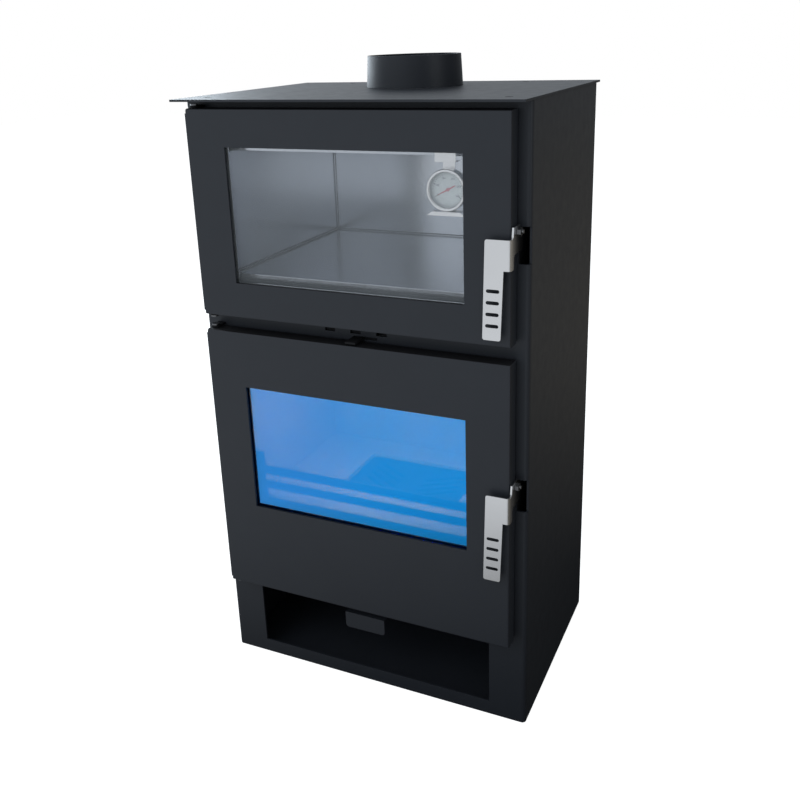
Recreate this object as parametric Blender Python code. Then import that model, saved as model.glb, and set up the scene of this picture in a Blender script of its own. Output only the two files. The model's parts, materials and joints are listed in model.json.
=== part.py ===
"""Wood stove with an oven above the firebox, as separate bent-sheet, cast and glass pieces.

Metres, +Z up, the doors face -Y. The origin is the middle of the base panel's underside.
Heights are measured from the floor and depths from the front panel's outer face.
"""
import math
from collections import namedtuple

import bmesh
import bpy
from mathutils import Matrix, Vector

# Casing
CASING_WIDTH = 0.500
CASING_DEPTH = 0.326
SHEET = 0.003
CORNER_RADIUS = 0.006
CORNER_RETURN = 0.007
FIT_GAP = 0.0003
CUT_OVERRUN = 0.004
MERGE_DISTANCE = 0.00001
CORNER_STEPS = 6
SHARP_ANGLE = math.radians(35)

# The front from the floor up: sill, niche, firebox door, space, oven door, margin
NICHE_SILL = 0.022
NICHE_HEIGHT = 0.112
NICHE_TO_DOOR = 0.011
FIREBOX_DOOR_HEIGHT = 0.425
DOOR_SPACING = 0.0225
OVEN_DOOR_HEIGHT = 0.2925
DOOR_TO_TOP = 0.009

# Top plate and flue collar
PLATE_THICKNESS = 0.003
PLATE_SIDE_OVERHANG = 0.0015
PLATE_FRONT_OVERHANG = 0.033
PLATE_BACK_OVERHANG = 0.016
COLLAR_TO_BACK = 0.098
COLLAR_BASE_RADIUS = 0.0718
COLLAR_TOP_RADIUS = 0.0694
COLLAR_HEIGHT = 0.045
COLLAR_WALL = 0.0025
FLUE_HOLE_MARGIN = 0.0058
COLLAR_STEPS = 48
SCREW_HEAD_RADIUS = 0.005
SCREW_RADIUS = 0.0025
SCREW_HEAD_DEPTH = 0.0026
SCREW_LENGTH = 0.008
FRONT_SCREW_INSET = 0.032
FRONT_SCREW_SETBACK = 0.0095
BACK_SCREW_INSET = 0.103
BACK_SCREW_TO_BACK = 0.0165
ROUND_STEPS = 24

# Mouths in the front panel
MOUTH_INSET = 0.0555
MOUTH_ABOVE_DOOR_BOTTOM = 0.020
MOUTH_BELOW_DOOR_TOP = 0.022

# Oven liner
OVEN_INSET = 0.060
OVEN_FLOOR_ABOVE_WINDOW_BOTTOM = 0.008
OVEN_CEILING_BELOW_WINDOW_TOP = 0.007
OVEN_TO_BACK = 0.014
LINER_WALL = 0.002
LINER_FLANGE = 0.007
LINER_FLANGE_THICKNESS = 0.0015

# Inner body, floors and firebox lining
INNER_BODY_INSET = 0.016
INNER_BODY_TO_BACK = 0.007
TOP_RING_WIDTH = 0.028
TOP_RING_BACK_WIDTH = 0.019
FLOOR_ABOVE_DOOR_BOTTOM = 0.015
HEARTH_RISE = 0.084
BRICK = 0.025
BRICK_ABOVE_MOUTH = 0.012
BRICK_FRONT_SETBACK = 0.016
BAFFLE_FRONT_SETBACK = 0.060
GRATE_HALF_WIDTH = 0.100
GRATE_FRONT_SETBACK = 0.113
GRATE_BACK_MARGIN = 0.0527
GRATE_LEDGE = 0.010
GRATE_THICKNESS = 0.018
GRATE_RIM = 0.014
GRATE_SLOT_WIDTH = 0.007
GRATE_SLOT_PITCH = 0.0185
GRATE_SLOT_ANGLE = math.radians(32)

# Log guard, measured up from the hearth
GUARD_SETBACK = 0.010
GUARD_THICKNESS = 0.003
GUARD_UPRIGHT_WIDTH = 0.018
GUARD_HEIGHT = 0.0897
GUARD_UPPER_BAR_TOP = 0.0677
GUARD_UPPER_BAR_BOTTOM = 0.0537
GUARD_MIDDLE_BAR_TOP = 0.0422
GUARD_MIDDLE_BAR_BOTTOM = 0.0297
GUARD_LOWER_BAR_TOP = 0.0127
GUARD_FOOT_LENGTH = 0.022

# Ash pan
ASH_PAN_HALF_WIDTH = 0.110
ASH_PAN_HEADROOM = 0.0121
ASH_PAN_SETBACK = 0.026
ASH_PAN_TO_BACK = 0.045
ASH_PAN_WALL = 0.0015
ASH_PAN_TAB_HALF_WIDTH = 0.030
ASH_PAN_TAB_DEPTH = 0.014

# Primary air: a box under the firebox floor and a pull slide below it
AIR_BOX_SIDE_WALL = 0.010
AIR_BOX_DEPTH = 0.140
AIR_BOX_BELOW_NICHE_TOP = 0.0047
AIR_BOX_WALL = 0.0015
AIR_HOLE_CLEARANCE = 0.010
AIR_HOLE_WIDTH = 0.025
AIR_HOLE_SETBACK = 0.045
AIR_HOLE_DEPTH = 0.060
PULL_HALF_WIDTH = 0.033
PULL_THICKNESS = 0.002
PULL_FRONT_SETBACK = -0.016
PULL_TAB_HEIGHT = 0.0265
PULL_TAB_CORNER = 0.005
PULL_END_TO_BOX_END = 0.006
PULL_TRAVEL = 0.050
PULL_INLET_HALF_WIDTH = 0.020
PULL_HOLE_TO_END = 0.009
PULL_INLET_DEPTH = 0.030
GUIDE_LIP = 0.005

# Secondary air: a shutter behind the front panel with a tab through a slot
SHUTTER_HALF_WIDTH = 0.070
SHUTTER_BELOW_DOOR_TOP = 0.003
SHUTTER_HEIGHT = 0.021
SHUTTER_THICKNESS = 0.0015
SHUTTER_TAB_CENTRE = 0.005
SHUTTER_TAB_HALF_WIDTH = 0.008
SHUTTER_TAB_ABOVE_DOOR = 0.002
SHUTTER_TAB_THICKNESS = 0.003
SHUTTER_TAB_REACH = 0.027
SHUTTER_TRAVEL = 0.020
AIR_SLOT_PITCH = 0.040
AIR_SLOT_HALF_WIDTH = 0.008
AIR_SLOT_ABOVE_TAB = 0.0035
AIR_SLOT_HEIGHT = 0.006
SLIDE_CLEARANCE = 0.0004
DUCT_DEPTH = 0.026
DUCT_ABOVE_MOUTH = 0.003
DUCT_ABOVE_SHUTTER = 0.004
DUCT_WALL = 0.002

# Doors
DOOR_INSET = 0.0165
DOOR_REACH = 0.028
DOOR_BACK_GAP = 0.005
DOOR_EDGE_RADIUS = 0.003
DOOR_EDGE_STEPS = 2
NOTCH_WIDTH = 0.0032
NOTCH_HEIGHT = 0.0065
WINDOW_SIDE_MARGIN = 0.0615
OVEN_WINDOW_BOTTOM_MARGIN = 0.0515
OVEN_WINDOW_TOP_MARGIN = 0.051
FIREBOX_WINDOW_BOTTOM_MARGIN = 0.1445
FIREBOX_WINDOW_TOP_MARGIN = 0.0845
GLASS_THICKNESS = 0.004
GLASS_LAP = 0.012
GLASS_TAPE_THICKNESS = 0.002
GLASS_TAPE_WIDTH = 0.009
GLASS_FRAME_LAP = 0.008
GLASS_FRAME_THICKNESS = 0.002
GLASS_FRAME_SETBACK = 0.001
CHANNEL_WIDTH = 0.014
CHANNEL_WALL = 0.0015
CHANNEL_LIP_GAP = 0.007
GROOVE_DEPTH = 0.004
ROPE_HALF_WIDTH = 0.0052
ROPE_AROUND_MOUTH = 0.0085
ROPE_AROUND_OVEN = 0.013
ROPE_BEYOND_GLASS_FRAME = 0.010
ROPE_CORNER_STEPS = 2

# Hinges
HINGE_INSET = 0.0095
HINGE_SETBACK = 0.015
HINGE_PIN_RADIUS = 0.0035
HINGE_PIN_HEAD_RADIUS = 0.0055
HINGE_PIN_HEAD_HEIGHT = 0.002
HINGE_PIN_REACH = 0.006
TONGUE_THICKNESS = 0.003
TONGUE_HALF_WIDTH = 0.0065
TONGUE_TAIL = 0.008
RUNNING_GAP = 0.0003

# Handles, measured from the pivot
OVEN_HANDLE_ABOVE_DOOR_BOTTOM = 0.1475
FIREBOX_HANDLE_ABOVE_DOOR_BOTTOM = 0.249
HANDLE_PIVOT_SETBACK = 0.014
HANDLE_SHEET = 0.0025
HANDLE_STANDOFF = 0.0013
HANDLE_BEND_RADIUS = 0.0045
HANDLE_REACH = 0.040
HANDLE_BEND_STEPS = 4
GRIP_WIDTH = 0.029
GRIP_NARROW_WIDTH = 0.024
GRIP_TOP_DROP = 0.0065
GRIP_SHOULDER_DROP = 0.045
GRIP_BOTTOM_DROP = 0.135
GRIP_LEAN = 0.0035
GRIP_CORNER = 0.003
GRIP_SLOT_HALF_LENGTH = 0.0087
GRIP_SLOT_HEIGHT = 0.0046
GRIP_SLOT_FIRST_DROP = 0.0712
GRIP_SLOT_PITCH = 0.015
GRIP_SLOT_COUNT = 4
FLANGE_RISE = 0.007
FLANGE_DROP = 0.027
FLANGE_FRONT = 0.028
FLANGE_NECK = 0.002
FLANGE_STEP = 0.003
LATCH_REACH = 0.009
LATCH_RISE = 0.002
LATCH_DROP = 0.014
LATCH_FRONT_GAP = 0.0015
LATCH_SLOT_RISE = 0.003
LATCH_SLOT_HEIGHT = 0.048
LATCH_SLOT_SETBACK = 0.005
LATCH_SLOT_CLEARANCE = 0.0012
STUD_RADIUS = 0.003
STUD_HEAD_RADIUS = 0.006
STUD_HEAD_LENGTH = 0.003
STUD_SHOULDER_RADIUS = 0.005
STUD_END = 0.0025
NUT_ACROSS_FLATS = 0.010
NUT_HEIGHT = 0.005
NUT_SIDES = 6

# Oven thermometer, hung behind the oven glass
THERMOMETER_INSET = 0.0275
THERMOMETER_BELOW_WINDOW_TOP = 0.048
CASE_RADIUS = 0.0265
CASE_DEPTH = 0.0125
CASE_WALL = 0.001
CASE_RIM = 0.004
CASE_EDGE_RADIUS = 0.0015
CASE_EDGE_STEPS = 3
LENS_THICKNESS = 0.001
DIAL_THICKNESS = 0.0006
NEEDLE_TO_DIAL = 0.0006
NEEDLE_THICKNESS = 0.0006
NEEDLE_TIP_LENGTH = 0.0175
NEEDLE_TAIL_LENGTH = 0.0110
NEEDLE_HALF_WIDTH = 0.0011
NEEDLE_HUB_RADIUS = 0.0022
SPINDLE_RADIUS = 0.0008
NEEDLE_REST_ANGLE = math.radians(208)
HANGER_HALF_WIDTH = 0.014
HANGER_PLATE_DROP = 0.013
HANGER_NECK_HALF_WIDTH = 0.008
HANGER_THICKNESS = 0.001
HANGER_HOOK_DROP = 0.005
FOOT_HALF_WIDTH = 0.0265
FOOT_TOP_HALF_WIDTH = 0.0188
FOOT_HEIGHT = 0.0052
COIL_TURNS = 3
COIL_STEPS = 12
COIL_INNER_RADIUS = 0.003
COIL_PITCH = 0.0032
COIL_STRIP = 0.0005
COIL_HEIGHT = 0.0022

# Derived places across
FRONT_Y = -CASING_DEPTH / 2
SIDE_X = CASING_WIDTH / 2
INSIDE_X = SIDE_X - SHEET - FIT_GAP
DOOR_HALF_WIDTH = SIDE_X - DOOR_INSET
HINGE_X = -DOOR_HALF_WIDTH + HINGE_INSET
WINDOW_HALF_WIDTH = DOOR_HALF_WIDTH - WINDOW_SIDE_MARGIN
MOUTH_HALF_WIDTH = SIDE_X - MOUTH_INSET
OVEN_HALF_WIDTH = SIDE_X - OVEN_INSET
INNER_HALF_WIDTH = SIDE_X - INNER_BODY_INSET
LINING_HALF_WIDTH = INNER_HALF_WIDTH - SHEET - FIT_GAP
HANDLE_FLANGE_X = DOOR_HALF_WIDTH + HANDLE_STANDOFF
DUCT_HALF_WIDTH = WINDOW_HALF_WIDTH + GLASS_LAP + GLASS_FRAME_LAP
AIR_HOLE_INNER = ASH_PAN_HALF_WIDTH + AIR_HOLE_CLEARANCE
AIR_BOX_HALF_WIDTH = AIR_HOLE_INNER + AIR_HOLE_WIDTH + AIR_BOX_SIDE_WALL
THERMOMETER_CENTRE = WINDOW_HALF_WIDTH - THERMOMETER_INSET
FLUE_HOLE_RADIUS = COLLAR_BASE_RADIUS - FLUE_HOLE_MARGIN

# Derived heights
NICHE_TOP = NICHE_SILL + NICHE_HEIGHT
FIREBOX_DOOR_BOTTOM = NICHE_TOP + NICHE_TO_DOOR
FIREBOX_DOOR_TOP = FIREBOX_DOOR_BOTTOM + FIREBOX_DOOR_HEIGHT
OVEN_DOOR_BOTTOM = FIREBOX_DOOR_TOP + DOOR_SPACING
OVEN_DOOR_TOP = OVEN_DOOR_BOTTOM + OVEN_DOOR_HEIGHT
CASING_HEIGHT = OVEN_DOOR_TOP + DOOR_TO_TOP
PLATE_BOTTOM = CASING_HEIGHT + FIT_GAP
PLATE_TOP = PLATE_BOTTOM + PLATE_THICKNESS
OVEN_WINDOW_BOTTOM = OVEN_DOOR_BOTTOM + OVEN_WINDOW_BOTTOM_MARGIN
OVEN_WINDOW_TOP = OVEN_DOOR_TOP - OVEN_WINDOW_TOP_MARGIN
OVEN_FLOOR = OVEN_WINDOW_BOTTOM + OVEN_FLOOR_ABOVE_WINDOW_BOTTOM
OVEN_CEILING = OVEN_WINDOW_TOP - OVEN_CEILING_BELOW_WINDOW_TOP
FIREBOX_WINDOW_BOTTOM = FIREBOX_DOOR_BOTTOM + FIREBOX_WINDOW_BOTTOM_MARGIN
FIREBOX_WINDOW_TOP = FIREBOX_DOOR_TOP - FIREBOX_WINDOW_TOP_MARGIN
MOUTH_BOTTOM = FIREBOX_DOOR_BOTTOM + MOUTH_ABOVE_DOOR_BOTTOM
MOUTH_TOP = FIREBOX_DOOR_TOP - MOUTH_BELOW_DOOR_TOP
FIREBOX_FLOOR = FIREBOX_DOOR_BOTTOM + FLOOR_ABOVE_DOOR_BOTTOM
HEARTH_PLATE_BOTTOM = FIREBOX_FLOOR + HEARTH_RISE
HEARTH_PLATE_TOP = HEARTH_PLATE_BOTTOM + SHEET
HEARTH_TOP = HEARTH_PLATE_TOP + FIT_GAP + BRICK
SIDE_BRICK_TOP = MOUTH_TOP + BRICK_ABOVE_MOUTH
AIR_BOX_BOTTOM = NICHE_TOP - AIR_BOX_BELOW_NICHE_TOP
PULL_TOP = AIR_BOX_BOTTOM - FIT_GAP
SHUTTER_BOTTOM = FIREBOX_DOOR_TOP - SHUTTER_BELOW_DOOR_TOP
SHUTTER_TOP = SHUTTER_BOTTOM + SHUTTER_HEIGHT
SHUTTER_TAB_BOTTOM = FIREBOX_DOOR_TOP + SHUTTER_TAB_ABOVE_DOOR
AIR_SLOT_BOTTOM = SHUTTER_TAB_BOTTOM + SHUTTER_TAB_THICKNESS + AIR_SLOT_ABOVE_TAB
DUCT_BOTTOM = MOUTH_TOP + DUCT_ABOVE_MOUTH
DUCT_TOP = SHUTTER_TOP + DUCT_ABOVE_SHUTTER
THERMOMETER_HEIGHT = OVEN_WINDOW_TOP - THERMOMETER_BELOW_WINDOW_TOP
GLASS_FRAME_TOP = OVEN_WINDOW_TOP + GLASS_LAP + GLASS_FRAME_LAP

# Derived depths behind the front panel's face
INSIDE_FRONT = SHEET + FIT_GAP
INSIDE_BACK = CASING_DEPTH - SHEET - FIT_GAP
OVEN_DEPTH = CASING_DEPTH - OVEN_TO_BACK
INNER_BACK = CASING_DEPTH - INNER_BODY_TO_BACK
LINING_BACK = INNER_BACK - SHEET - FIT_GAP
GRATE_BACK = LINING_BACK - BRICK - GRATE_BACK_MARGIN
PAN_BACK = -DOOR_BACK_GAP
PAN_INNER = -DOOR_REACH + SHEET
TAPE_FRONT = PAN_INNER + FIT_GAP
GLASS_FRONT = TAPE_FRONT + GLASS_TAPE_THICKNESS + FIT_GAP
GLASS_BACK = GLASS_FRONT + GLASS_THICKNESS
FRAME_FRONT = GLASS_BACK + FIT_GAP
FRAME_BACK = FRAME_FRONT + GLASS_FRAME_THICKNESS
PULL_END = AIR_BOX_DEPTH - PULL_END_TO_BOX_END
PULL_HOLE_SETBACK = PULL_END - PULL_HOLE_TO_END - PULL_INLET_DEPTH
PULL_INLET_SETBACK = PULL_HOLE_SETBACK - PULL_TRAVEL
CASE_FRONT = FRAME_BACK + FIT_GAP
CHANNEL_BACK = -CHANNEL_LIP_GAP
GROOVE_BOTTOM = CHANNEL_BACK - GROOVE_DEPTH
LINER_FLANGE_FRONT = -FIT_GAP - LINER_FLANGE_THICKNESS

# Derived depths of what lies in the thermometer's case, behind the case's front
COIL_BACK = CASE_DEPTH - CASE_WALL - FIT_GAP
DIAL_SETBACK = COIL_BACK - COIL_HEIGHT - FIT_GAP - DIAL_THICKNESS
NEEDLE_SETBACK = DIAL_SETBACK - NEEDLE_TO_DIAL - NEEDLE_THICKNESS
LENS_SETBACK = NEEDLE_SETBACK - FIT_GAP - LENS_THICKNESS
CASE_SKIRT_DEPTH = LENS_SETBACK - FIT_GAP

Door = namedtuple("Door", "name bottom top window_bottom window_top rope_side rope_bottom rope_top handle")
OVEN_ROPE_RISE = GLASS_LAP + GLASS_FRAME_LAP + ROPE_BEYOND_GLASS_FRAME
OVEN_DOOR = Door("oven", OVEN_DOOR_BOTTOM, OVEN_DOOR_TOP, OVEN_WINDOW_BOTTOM, OVEN_WINDOW_TOP,
                 OVEN_HALF_WIDTH + ROPE_AROUND_OVEN, OVEN_WINDOW_BOTTOM - OVEN_ROPE_RISE,
                 OVEN_WINDOW_TOP + OVEN_ROPE_RISE, OVEN_DOOR_BOTTOM + OVEN_HANDLE_ABOVE_DOOR_BOTTOM)
FIREBOX_DOOR = Door("firebox", FIREBOX_DOOR_BOTTOM, FIREBOX_DOOR_TOP, FIREBOX_WINDOW_BOTTOM,
                    FIREBOX_WINDOW_TOP, MOUTH_HALF_WIDTH + ROPE_AROUND_MOUTH,
                    MOUTH_BOTTOM - ROPE_AROUND_MOUTH, MOUTH_TOP + ROPE_AROUND_MOUTH,
                    FIREBOX_DOOR_BOTTOM + FIREBOX_HANDLE_ABOVE_DOOR_BOTTOM)
DOORS = (OVEN_DOOR, FIREBOX_DOOR)


def point(x, depth, z):
    """A point at a depth behind the front panel's face."""
    return Vector((x, FRONT_Y + depth, z))


def clear_scene():
    for item in list(bpy.data.objects):
        bpy.data.objects.remove(item, do_unlink=True)


def material(name, colour, roughness, metallic=0.0, alpha=1.0):
    result = bpy.data.materials.new(name)
    result.use_nodes = True
    shader = result.node_tree.nodes["Principled BSDF"]
    shader.inputs["Base Color"].default_value = (*colour, 1.0)
    shader.inputs["Roughness"].default_value = roughness
    shader.inputs["Metallic"].default_value = metallic
    shader.inputs["Alpha"].default_value = alpha
    return result


def painted(name):
    return material(name + "_paint", (0.035, 0.038, 0.043), 0.55)


def black_steel(name):
    return material(name + "_black", (0.012, 0.012, 0.014), 0.6)


def stainless(name):
    return material(name + "_stainless", (0.60, 0.59, 0.60), 0.28, metallic=1.0)


def brick(name):
    return material(name + "_vermiculite", (0.50, 0.47, 0.42), 0.9)


def cast_iron(name):
    return material(name + "_cast_iron", (0.05, 0.05, 0.052), 0.75, metallic=0.6)


def rope_fibre(name):
    return material(name + "_fibre", (0.10, 0.10, 0.10), 0.95)


def frame_empty(name, place, parent=None):
    """An empty on a joint's axis, which carries the pieces of one moving body."""
    empty = bpy.data.objects.new(name, None)
    bpy.context.scene.collection.objects.link(empty)
    empty["place"] = list(place)
    if parent is not None:
        empty.parent = parent
        empty.location = place - Vector(parent["place"])
    else:
        empty.location = place
    return empty


def add_object(name, bm, look=None, frame=None):
    """Turn a mesh in world places into an object that stands in its body's frame."""
    bmesh.ops.recalc_face_normals(bm, faces=bm.faces)
    if frame is not None:
        bmesh.ops.translate(bm, verts=bm.verts, vec=-Vector(frame["place"]))
    mesh = bpy.data.meshes.new(name)
    bm.to_mesh(mesh)
    bm.free()
    if look is not None:
        mesh.materials.append(look)
    item = bpy.data.objects.new(name, mesh)
    bpy.context.scene.collection.objects.link(item)
    item.parent = frame
    return item


def carve(item, bm, frame=None, operation="DIFFERENCE"):
    """Cut an object with a mesh in world places."""
    cutter = add_object("cutter_" + item.name, bm, frame=frame)
    cutter.hide_render = True
    cutter.display_type = "WIRE"
    boolean = item.modifiers.new("cut", "BOOLEAN")
    boolean.operation = operation
    boolean.solver = "EXACT"
    boolean.object = cutter


def shade_round(item):
    item.data.shade_smooth()
    item.data.set_sharp_from_angle(angle=SHARP_ANGLE)


def add_box(bm, x_span, depth_span, z_span):
    """A box between two x values, two depths and two heights."""
    low = point(x_span[0], depth_span[0], z_span[0])
    high = point(x_span[1], depth_span[1], z_span[1])
    made = bmesh.ops.create_cube(bm, size=1)
    bmesh.ops.scale(bm, verts=made["verts"], vec=high - low)
    bmesh.ops.translate(bm, verts=made["verts"], vec=(low + high) / 2)
    return made["verts"]


def box(x_span, depth_span, z_span):
    bm = bmesh.new()
    add_box(bm, x_span, depth_span, z_span)
    return bm


def arc(centre, radius, start, end, steps):
    """Points of an arc in a plane, from one angle in degrees to another."""
    points = []
    for step in range(steps + 1):
        angle = math.radians(start + (end - start) * step / steps)
        points.append((centre[0] + radius * math.cos(angle), centre[1] + radius * math.sin(angle)))
    return points


def add_prism(bm, corners, travel):
    """Extrude a closed outline of world points along a vector."""
    face = bm.faces.new([bm.verts.new(corner) for corner in corners])
    made = bmesh.ops.extrude_face_region(bm, geom=[face])
    moved = [item for item in made["geom"] if isinstance(item, bmesh.types.BMVert)]
    bmesh.ops.translate(bm, verts=moved, vec=travel)


def plan_prism(outline, z_span):
    """An outline of x and depth, extruded upwards."""
    bm = bmesh.new()
    corners = [point(x, depth, z_span[0]) for x, depth in outline]
    add_prism(bm, corners, Vector((0, 0, z_span[1] - z_span[0])))
    return bm


def front_prism(outline, depth_span):
    """An outline of x and height, extruded backwards."""
    bm = bmesh.new()
    corners = [point(x, depth_span[0], z) for x, z in outline]
    add_prism(bm, corners, Vector((0, depth_span[1] - depth_span[0], 0)))
    return bm


def side_prism(outline, x_span):
    """An outline of depth and height, extruded across."""
    bm = bmesh.new()
    corners = [point(x_span[0], depth, z) for depth, z in outline]
    add_prism(bm, corners, Vector((x_span[1] - x_span[0], 0, 0)))
    return bm


def turned(profile, centre, axis, steps=ROUND_STEPS):
    """Spin a profile of radius and distance along an axis that starts at a centre."""
    bm = bmesh.new()
    turn = Vector((0, 0, 1)).rotation_difference(axis)
    verts = [bm.verts.new(centre + turn @ Vector((radius, 0, along))) for radius, along in profile]
    edges = []
    for index, (radius, along) in enumerate(profile):
        if radius > 0 or profile[index - 1][0] > 0:
            edges.append(bm.edges.new((verts[index - 1], verts[index])))
    bmesh.ops.spin(bm, geom=verts + edges, cent=centre, axis=axis, angle=math.tau,
                   steps=steps, use_merge=True)
    bmesh.ops.remove_doubles(bm, verts=bm.verts, dist=MERGE_DISTANCE)
    return bm


def rod(radius, span, centre, axis, steps=ROUND_STEPS):
    """A round bar, or a round cutter, along an axis."""
    profile = [(0, span[0]), (radius, span[0]), (radius, span[1]), (0, span[1])]
    return turned(profile, centre, axis, steps)


def mitred_ring(half_width, z_span, profile):
    """A profile of outward distance and depth, carried round a rectangle with mitred corners."""
    bm = bmesh.new()
    corners = ((-1, z_span[0], -1), (1, z_span[0], -1), (1, z_span[1], 1), (-1, z_span[1], 1))
    loops = []
    for side, height, rise in corners:
        loops.append([bm.verts.new(point(side * (half_width + out), depth, height + rise * out))
                      for out, depth in profile])
    count = len(profile)
    for index, loop in enumerate(loops):
        following = loops[(index + 1) % len(loops)]
        for near in range(count):
            far = (near + 1) % count
            bm.faces.new((loop[near], loop[far], following[far], following[near]))
    return bm


def inside_plate(z_span):
    """A plate that fills the casing's plan, with its front corners cut to clear the bends."""
    cut = CORNER_RADIUS - SHEET
    outline = [(-INSIDE_X, INSIDE_BACK), (-INSIDE_X, INSIDE_FRONT + cut), (-INSIDE_X + cut, INSIDE_FRONT),
               (INSIDE_X - cut, INSIDE_FRONT), (INSIDE_X, INSIDE_FRONT + cut), (INSIDE_X, INSIDE_BACK)]
    return plan_prism(outline, z_span)


def hinge_axis_place(height):
    return point(HINGE_X, -HINGE_SETBACK, height)


def make_front_panel():
    """The casing's face, bent back at both front corners, with every mouth cut in it."""
    outer = arc((-SIDE_X + CORNER_RADIUS, CORNER_RADIUS), CORNER_RADIUS, 180, 270, CORNER_STEPS)
    outer += arc((SIDE_X - CORNER_RADIUS, CORNER_RADIUS), CORNER_RADIUS, 270, 360, CORNER_STEPS)
    inner_radius = CORNER_RADIUS - SHEET
    inner = arc((SIDE_X - CORNER_RADIUS, CORNER_RADIUS), inner_radius, 360, 270, CORNER_STEPS)
    inner += arc((-SIDE_X + CORNER_RADIUS, CORNER_RADIUS), inner_radius, 270, 180, CORNER_STEPS)
    outline = [(-SIDE_X, CORNER_RETURN)] + outer + [(SIDE_X, CORNER_RETURN)]
    outline += [(SIDE_X - SHEET, CORNER_RETURN)] + inner + [(-SIDE_X + SHEET, CORNER_RETURN)]
    panel = add_object("front_panel", plan_prism(outline, (0, CASING_HEIGHT)), painted("front_panel"))
    shade_round(panel)
    through = (-CUT_OVERRUN, SHEET + CUT_OVERRUN)
    mouths = bmesh.new()
    for span in ((NICHE_SILL, NICHE_TOP), (MOUTH_BOTTOM, MOUTH_TOP)):
        add_box(mouths, (-MOUTH_HALF_WIDTH, MOUTH_HALF_WIDTH), through, span)
    liner_gap = LINER_WALL + FIT_GAP
    add_box(mouths, (-OVEN_HALF_WIDTH - liner_gap, OVEN_HALF_WIDTH + liner_gap), through,
            (OVEN_FLOOR - liner_gap, OVEN_CEILING + liner_gap))
    carve(panel, mouths)
    small = bmesh.new()
    reach = SHUTTER_TAB_HALF_WIDTH + SLIDE_CLEARANCE
    add_box(small, (SHUTTER_TAB_CENTRE - reach, SHUTTER_TAB_CENTRE + reach + SHUTTER_TRAVEL), through,
            (SHUTTER_TAB_BOTTOM - SLIDE_CLEARANCE,
             SHUTTER_TAB_BOTTOM + SHUTTER_TAB_THICKNESS + SLIDE_CLEARANCE))
    for index in (-1, 0, 1):
        middle = index * AIR_SLOT_PITCH
        add_box(small, (middle - AIR_SLOT_HALF_WIDTH, middle + AIR_SLOT_HALF_WIDTH), through,
                (AIR_SLOT_BOTTOM, AIR_SLOT_BOTTOM + AIR_SLOT_HEIGHT))
    for door in DOORS:
        add_box(small, (HANDLE_FLANGE_X - LATCH_SLOT_CLEARANCE, SIDE_X + CUT_OVERRUN),
                (-CUT_OVERRUN, LATCH_SLOT_SETBACK),
                (door.handle + LATCH_SLOT_RISE - LATCH_SLOT_HEIGHT, door.handle + LATCH_SLOT_RISE))
        for low in tongue_heights(door):
            add_box(small, (HINGE_X - TONGUE_HALF_WIDTH - FIT_GAP, HINGE_X + TONGUE_HALF_WIDTH + FIT_GAP),
                    through, (low - FIT_GAP, low + TONGUE_THICKNESS + FIT_GAP))
    carve(panel, small)


def make_casing():
    """The side, back and base sheets behind the front panel."""
    start = CORNER_RETURN + FIT_GAP
    for name, side in (("left_side_panel", -1), ("right_side_panel", 1)):
        span = sorted((side * SIDE_X, side * (SIDE_X - SHEET)))
        add_object(name, box(span, (start, CASING_DEPTH), (0, CASING_HEIGHT)), painted(name))
    add_object("back_panel", box((-INSIDE_X, INSIDE_X), (CASING_DEPTH - SHEET, CASING_DEPTH),
                                 (0, CASING_HEIGHT)), painted("back_panel"))
    add_object("base_panel", inside_plate((0, SHEET)), painted("base_panel"))


def make_firebox_floor():
    """The plate over the niche, with an air hole beside the ash pan on each side."""
    floor = add_object("firebox_floor", inside_plate((FIREBOX_FLOOR, FIREBOX_FLOOR + SHEET)),
                       black_steel("firebox_floor"))
    holes = bmesh.new()
    for side in (-1, 1):
        add_box(holes, sorted((side * AIR_HOLE_INNER, side * (AIR_HOLE_INNER + AIR_HOLE_WIDTH))),
                (AIR_HOLE_SETBACK, AIR_HOLE_SETBACK + AIR_HOLE_DEPTH),
                (FIREBOX_FLOOR - CUT_OVERRUN, FIREBOX_FLOOR + SHEET + CUT_OVERRUN))
    carve(floor, holes)


def make_inner_body():
    """The gas-tight shell: two walls and a back, with a screwed ring under the top plate."""
    outer = INNER_HALF_WIDTH
    inner = INNER_HALF_WIDTH - SHEET
    back = INNER_BACK
    bottom = FIREBOX_FLOOR + SHEET + FIT_GAP
    top = CASING_HEIGHT - FIT_GAP
    body = add_object("inner_body", box((-outer, outer), (INSIDE_FRONT, back), (bottom, top)),
                      black_steel("inner_body"))
    carve(body, box((-inner, inner), (-CUT_OVERRUN, back - SHEET), (bottom - CUT_OVERRUN, top - SHEET)))
    ring = outer - TOP_RING_WIDTH
    openings = bmesh.new()
    add_box(openings, (-ring, ring), (INSIDE_FRONT + TOP_RING_WIDTH, back - TOP_RING_BACK_WIDTH),
            (top - SHEET - CUT_OVERRUN, top + CUT_OVERRUN))
    carve(body, openings)
    for place in screw_places():
        carve(body, rod(SCREW_RADIUS + FIT_GAP, (-SCREW_LENGTH - CUT_OVERRUN, 0), place, Vector((0, 0, 1))))


def screw_places():
    """The middles of the four screw heads, on the top plate's upper face."""
    places = []
    for side in (-1, 1):
        places.append(point(side * (SIDE_X - FRONT_SCREW_INSET), FRONT_SCREW_SETBACK, PLATE_TOP))
        places.append(point(side * (SIDE_X - BACK_SCREW_INSET), CASING_DEPTH - BACK_SCREW_TO_BACK,
                            PLATE_TOP))
    return places


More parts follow.
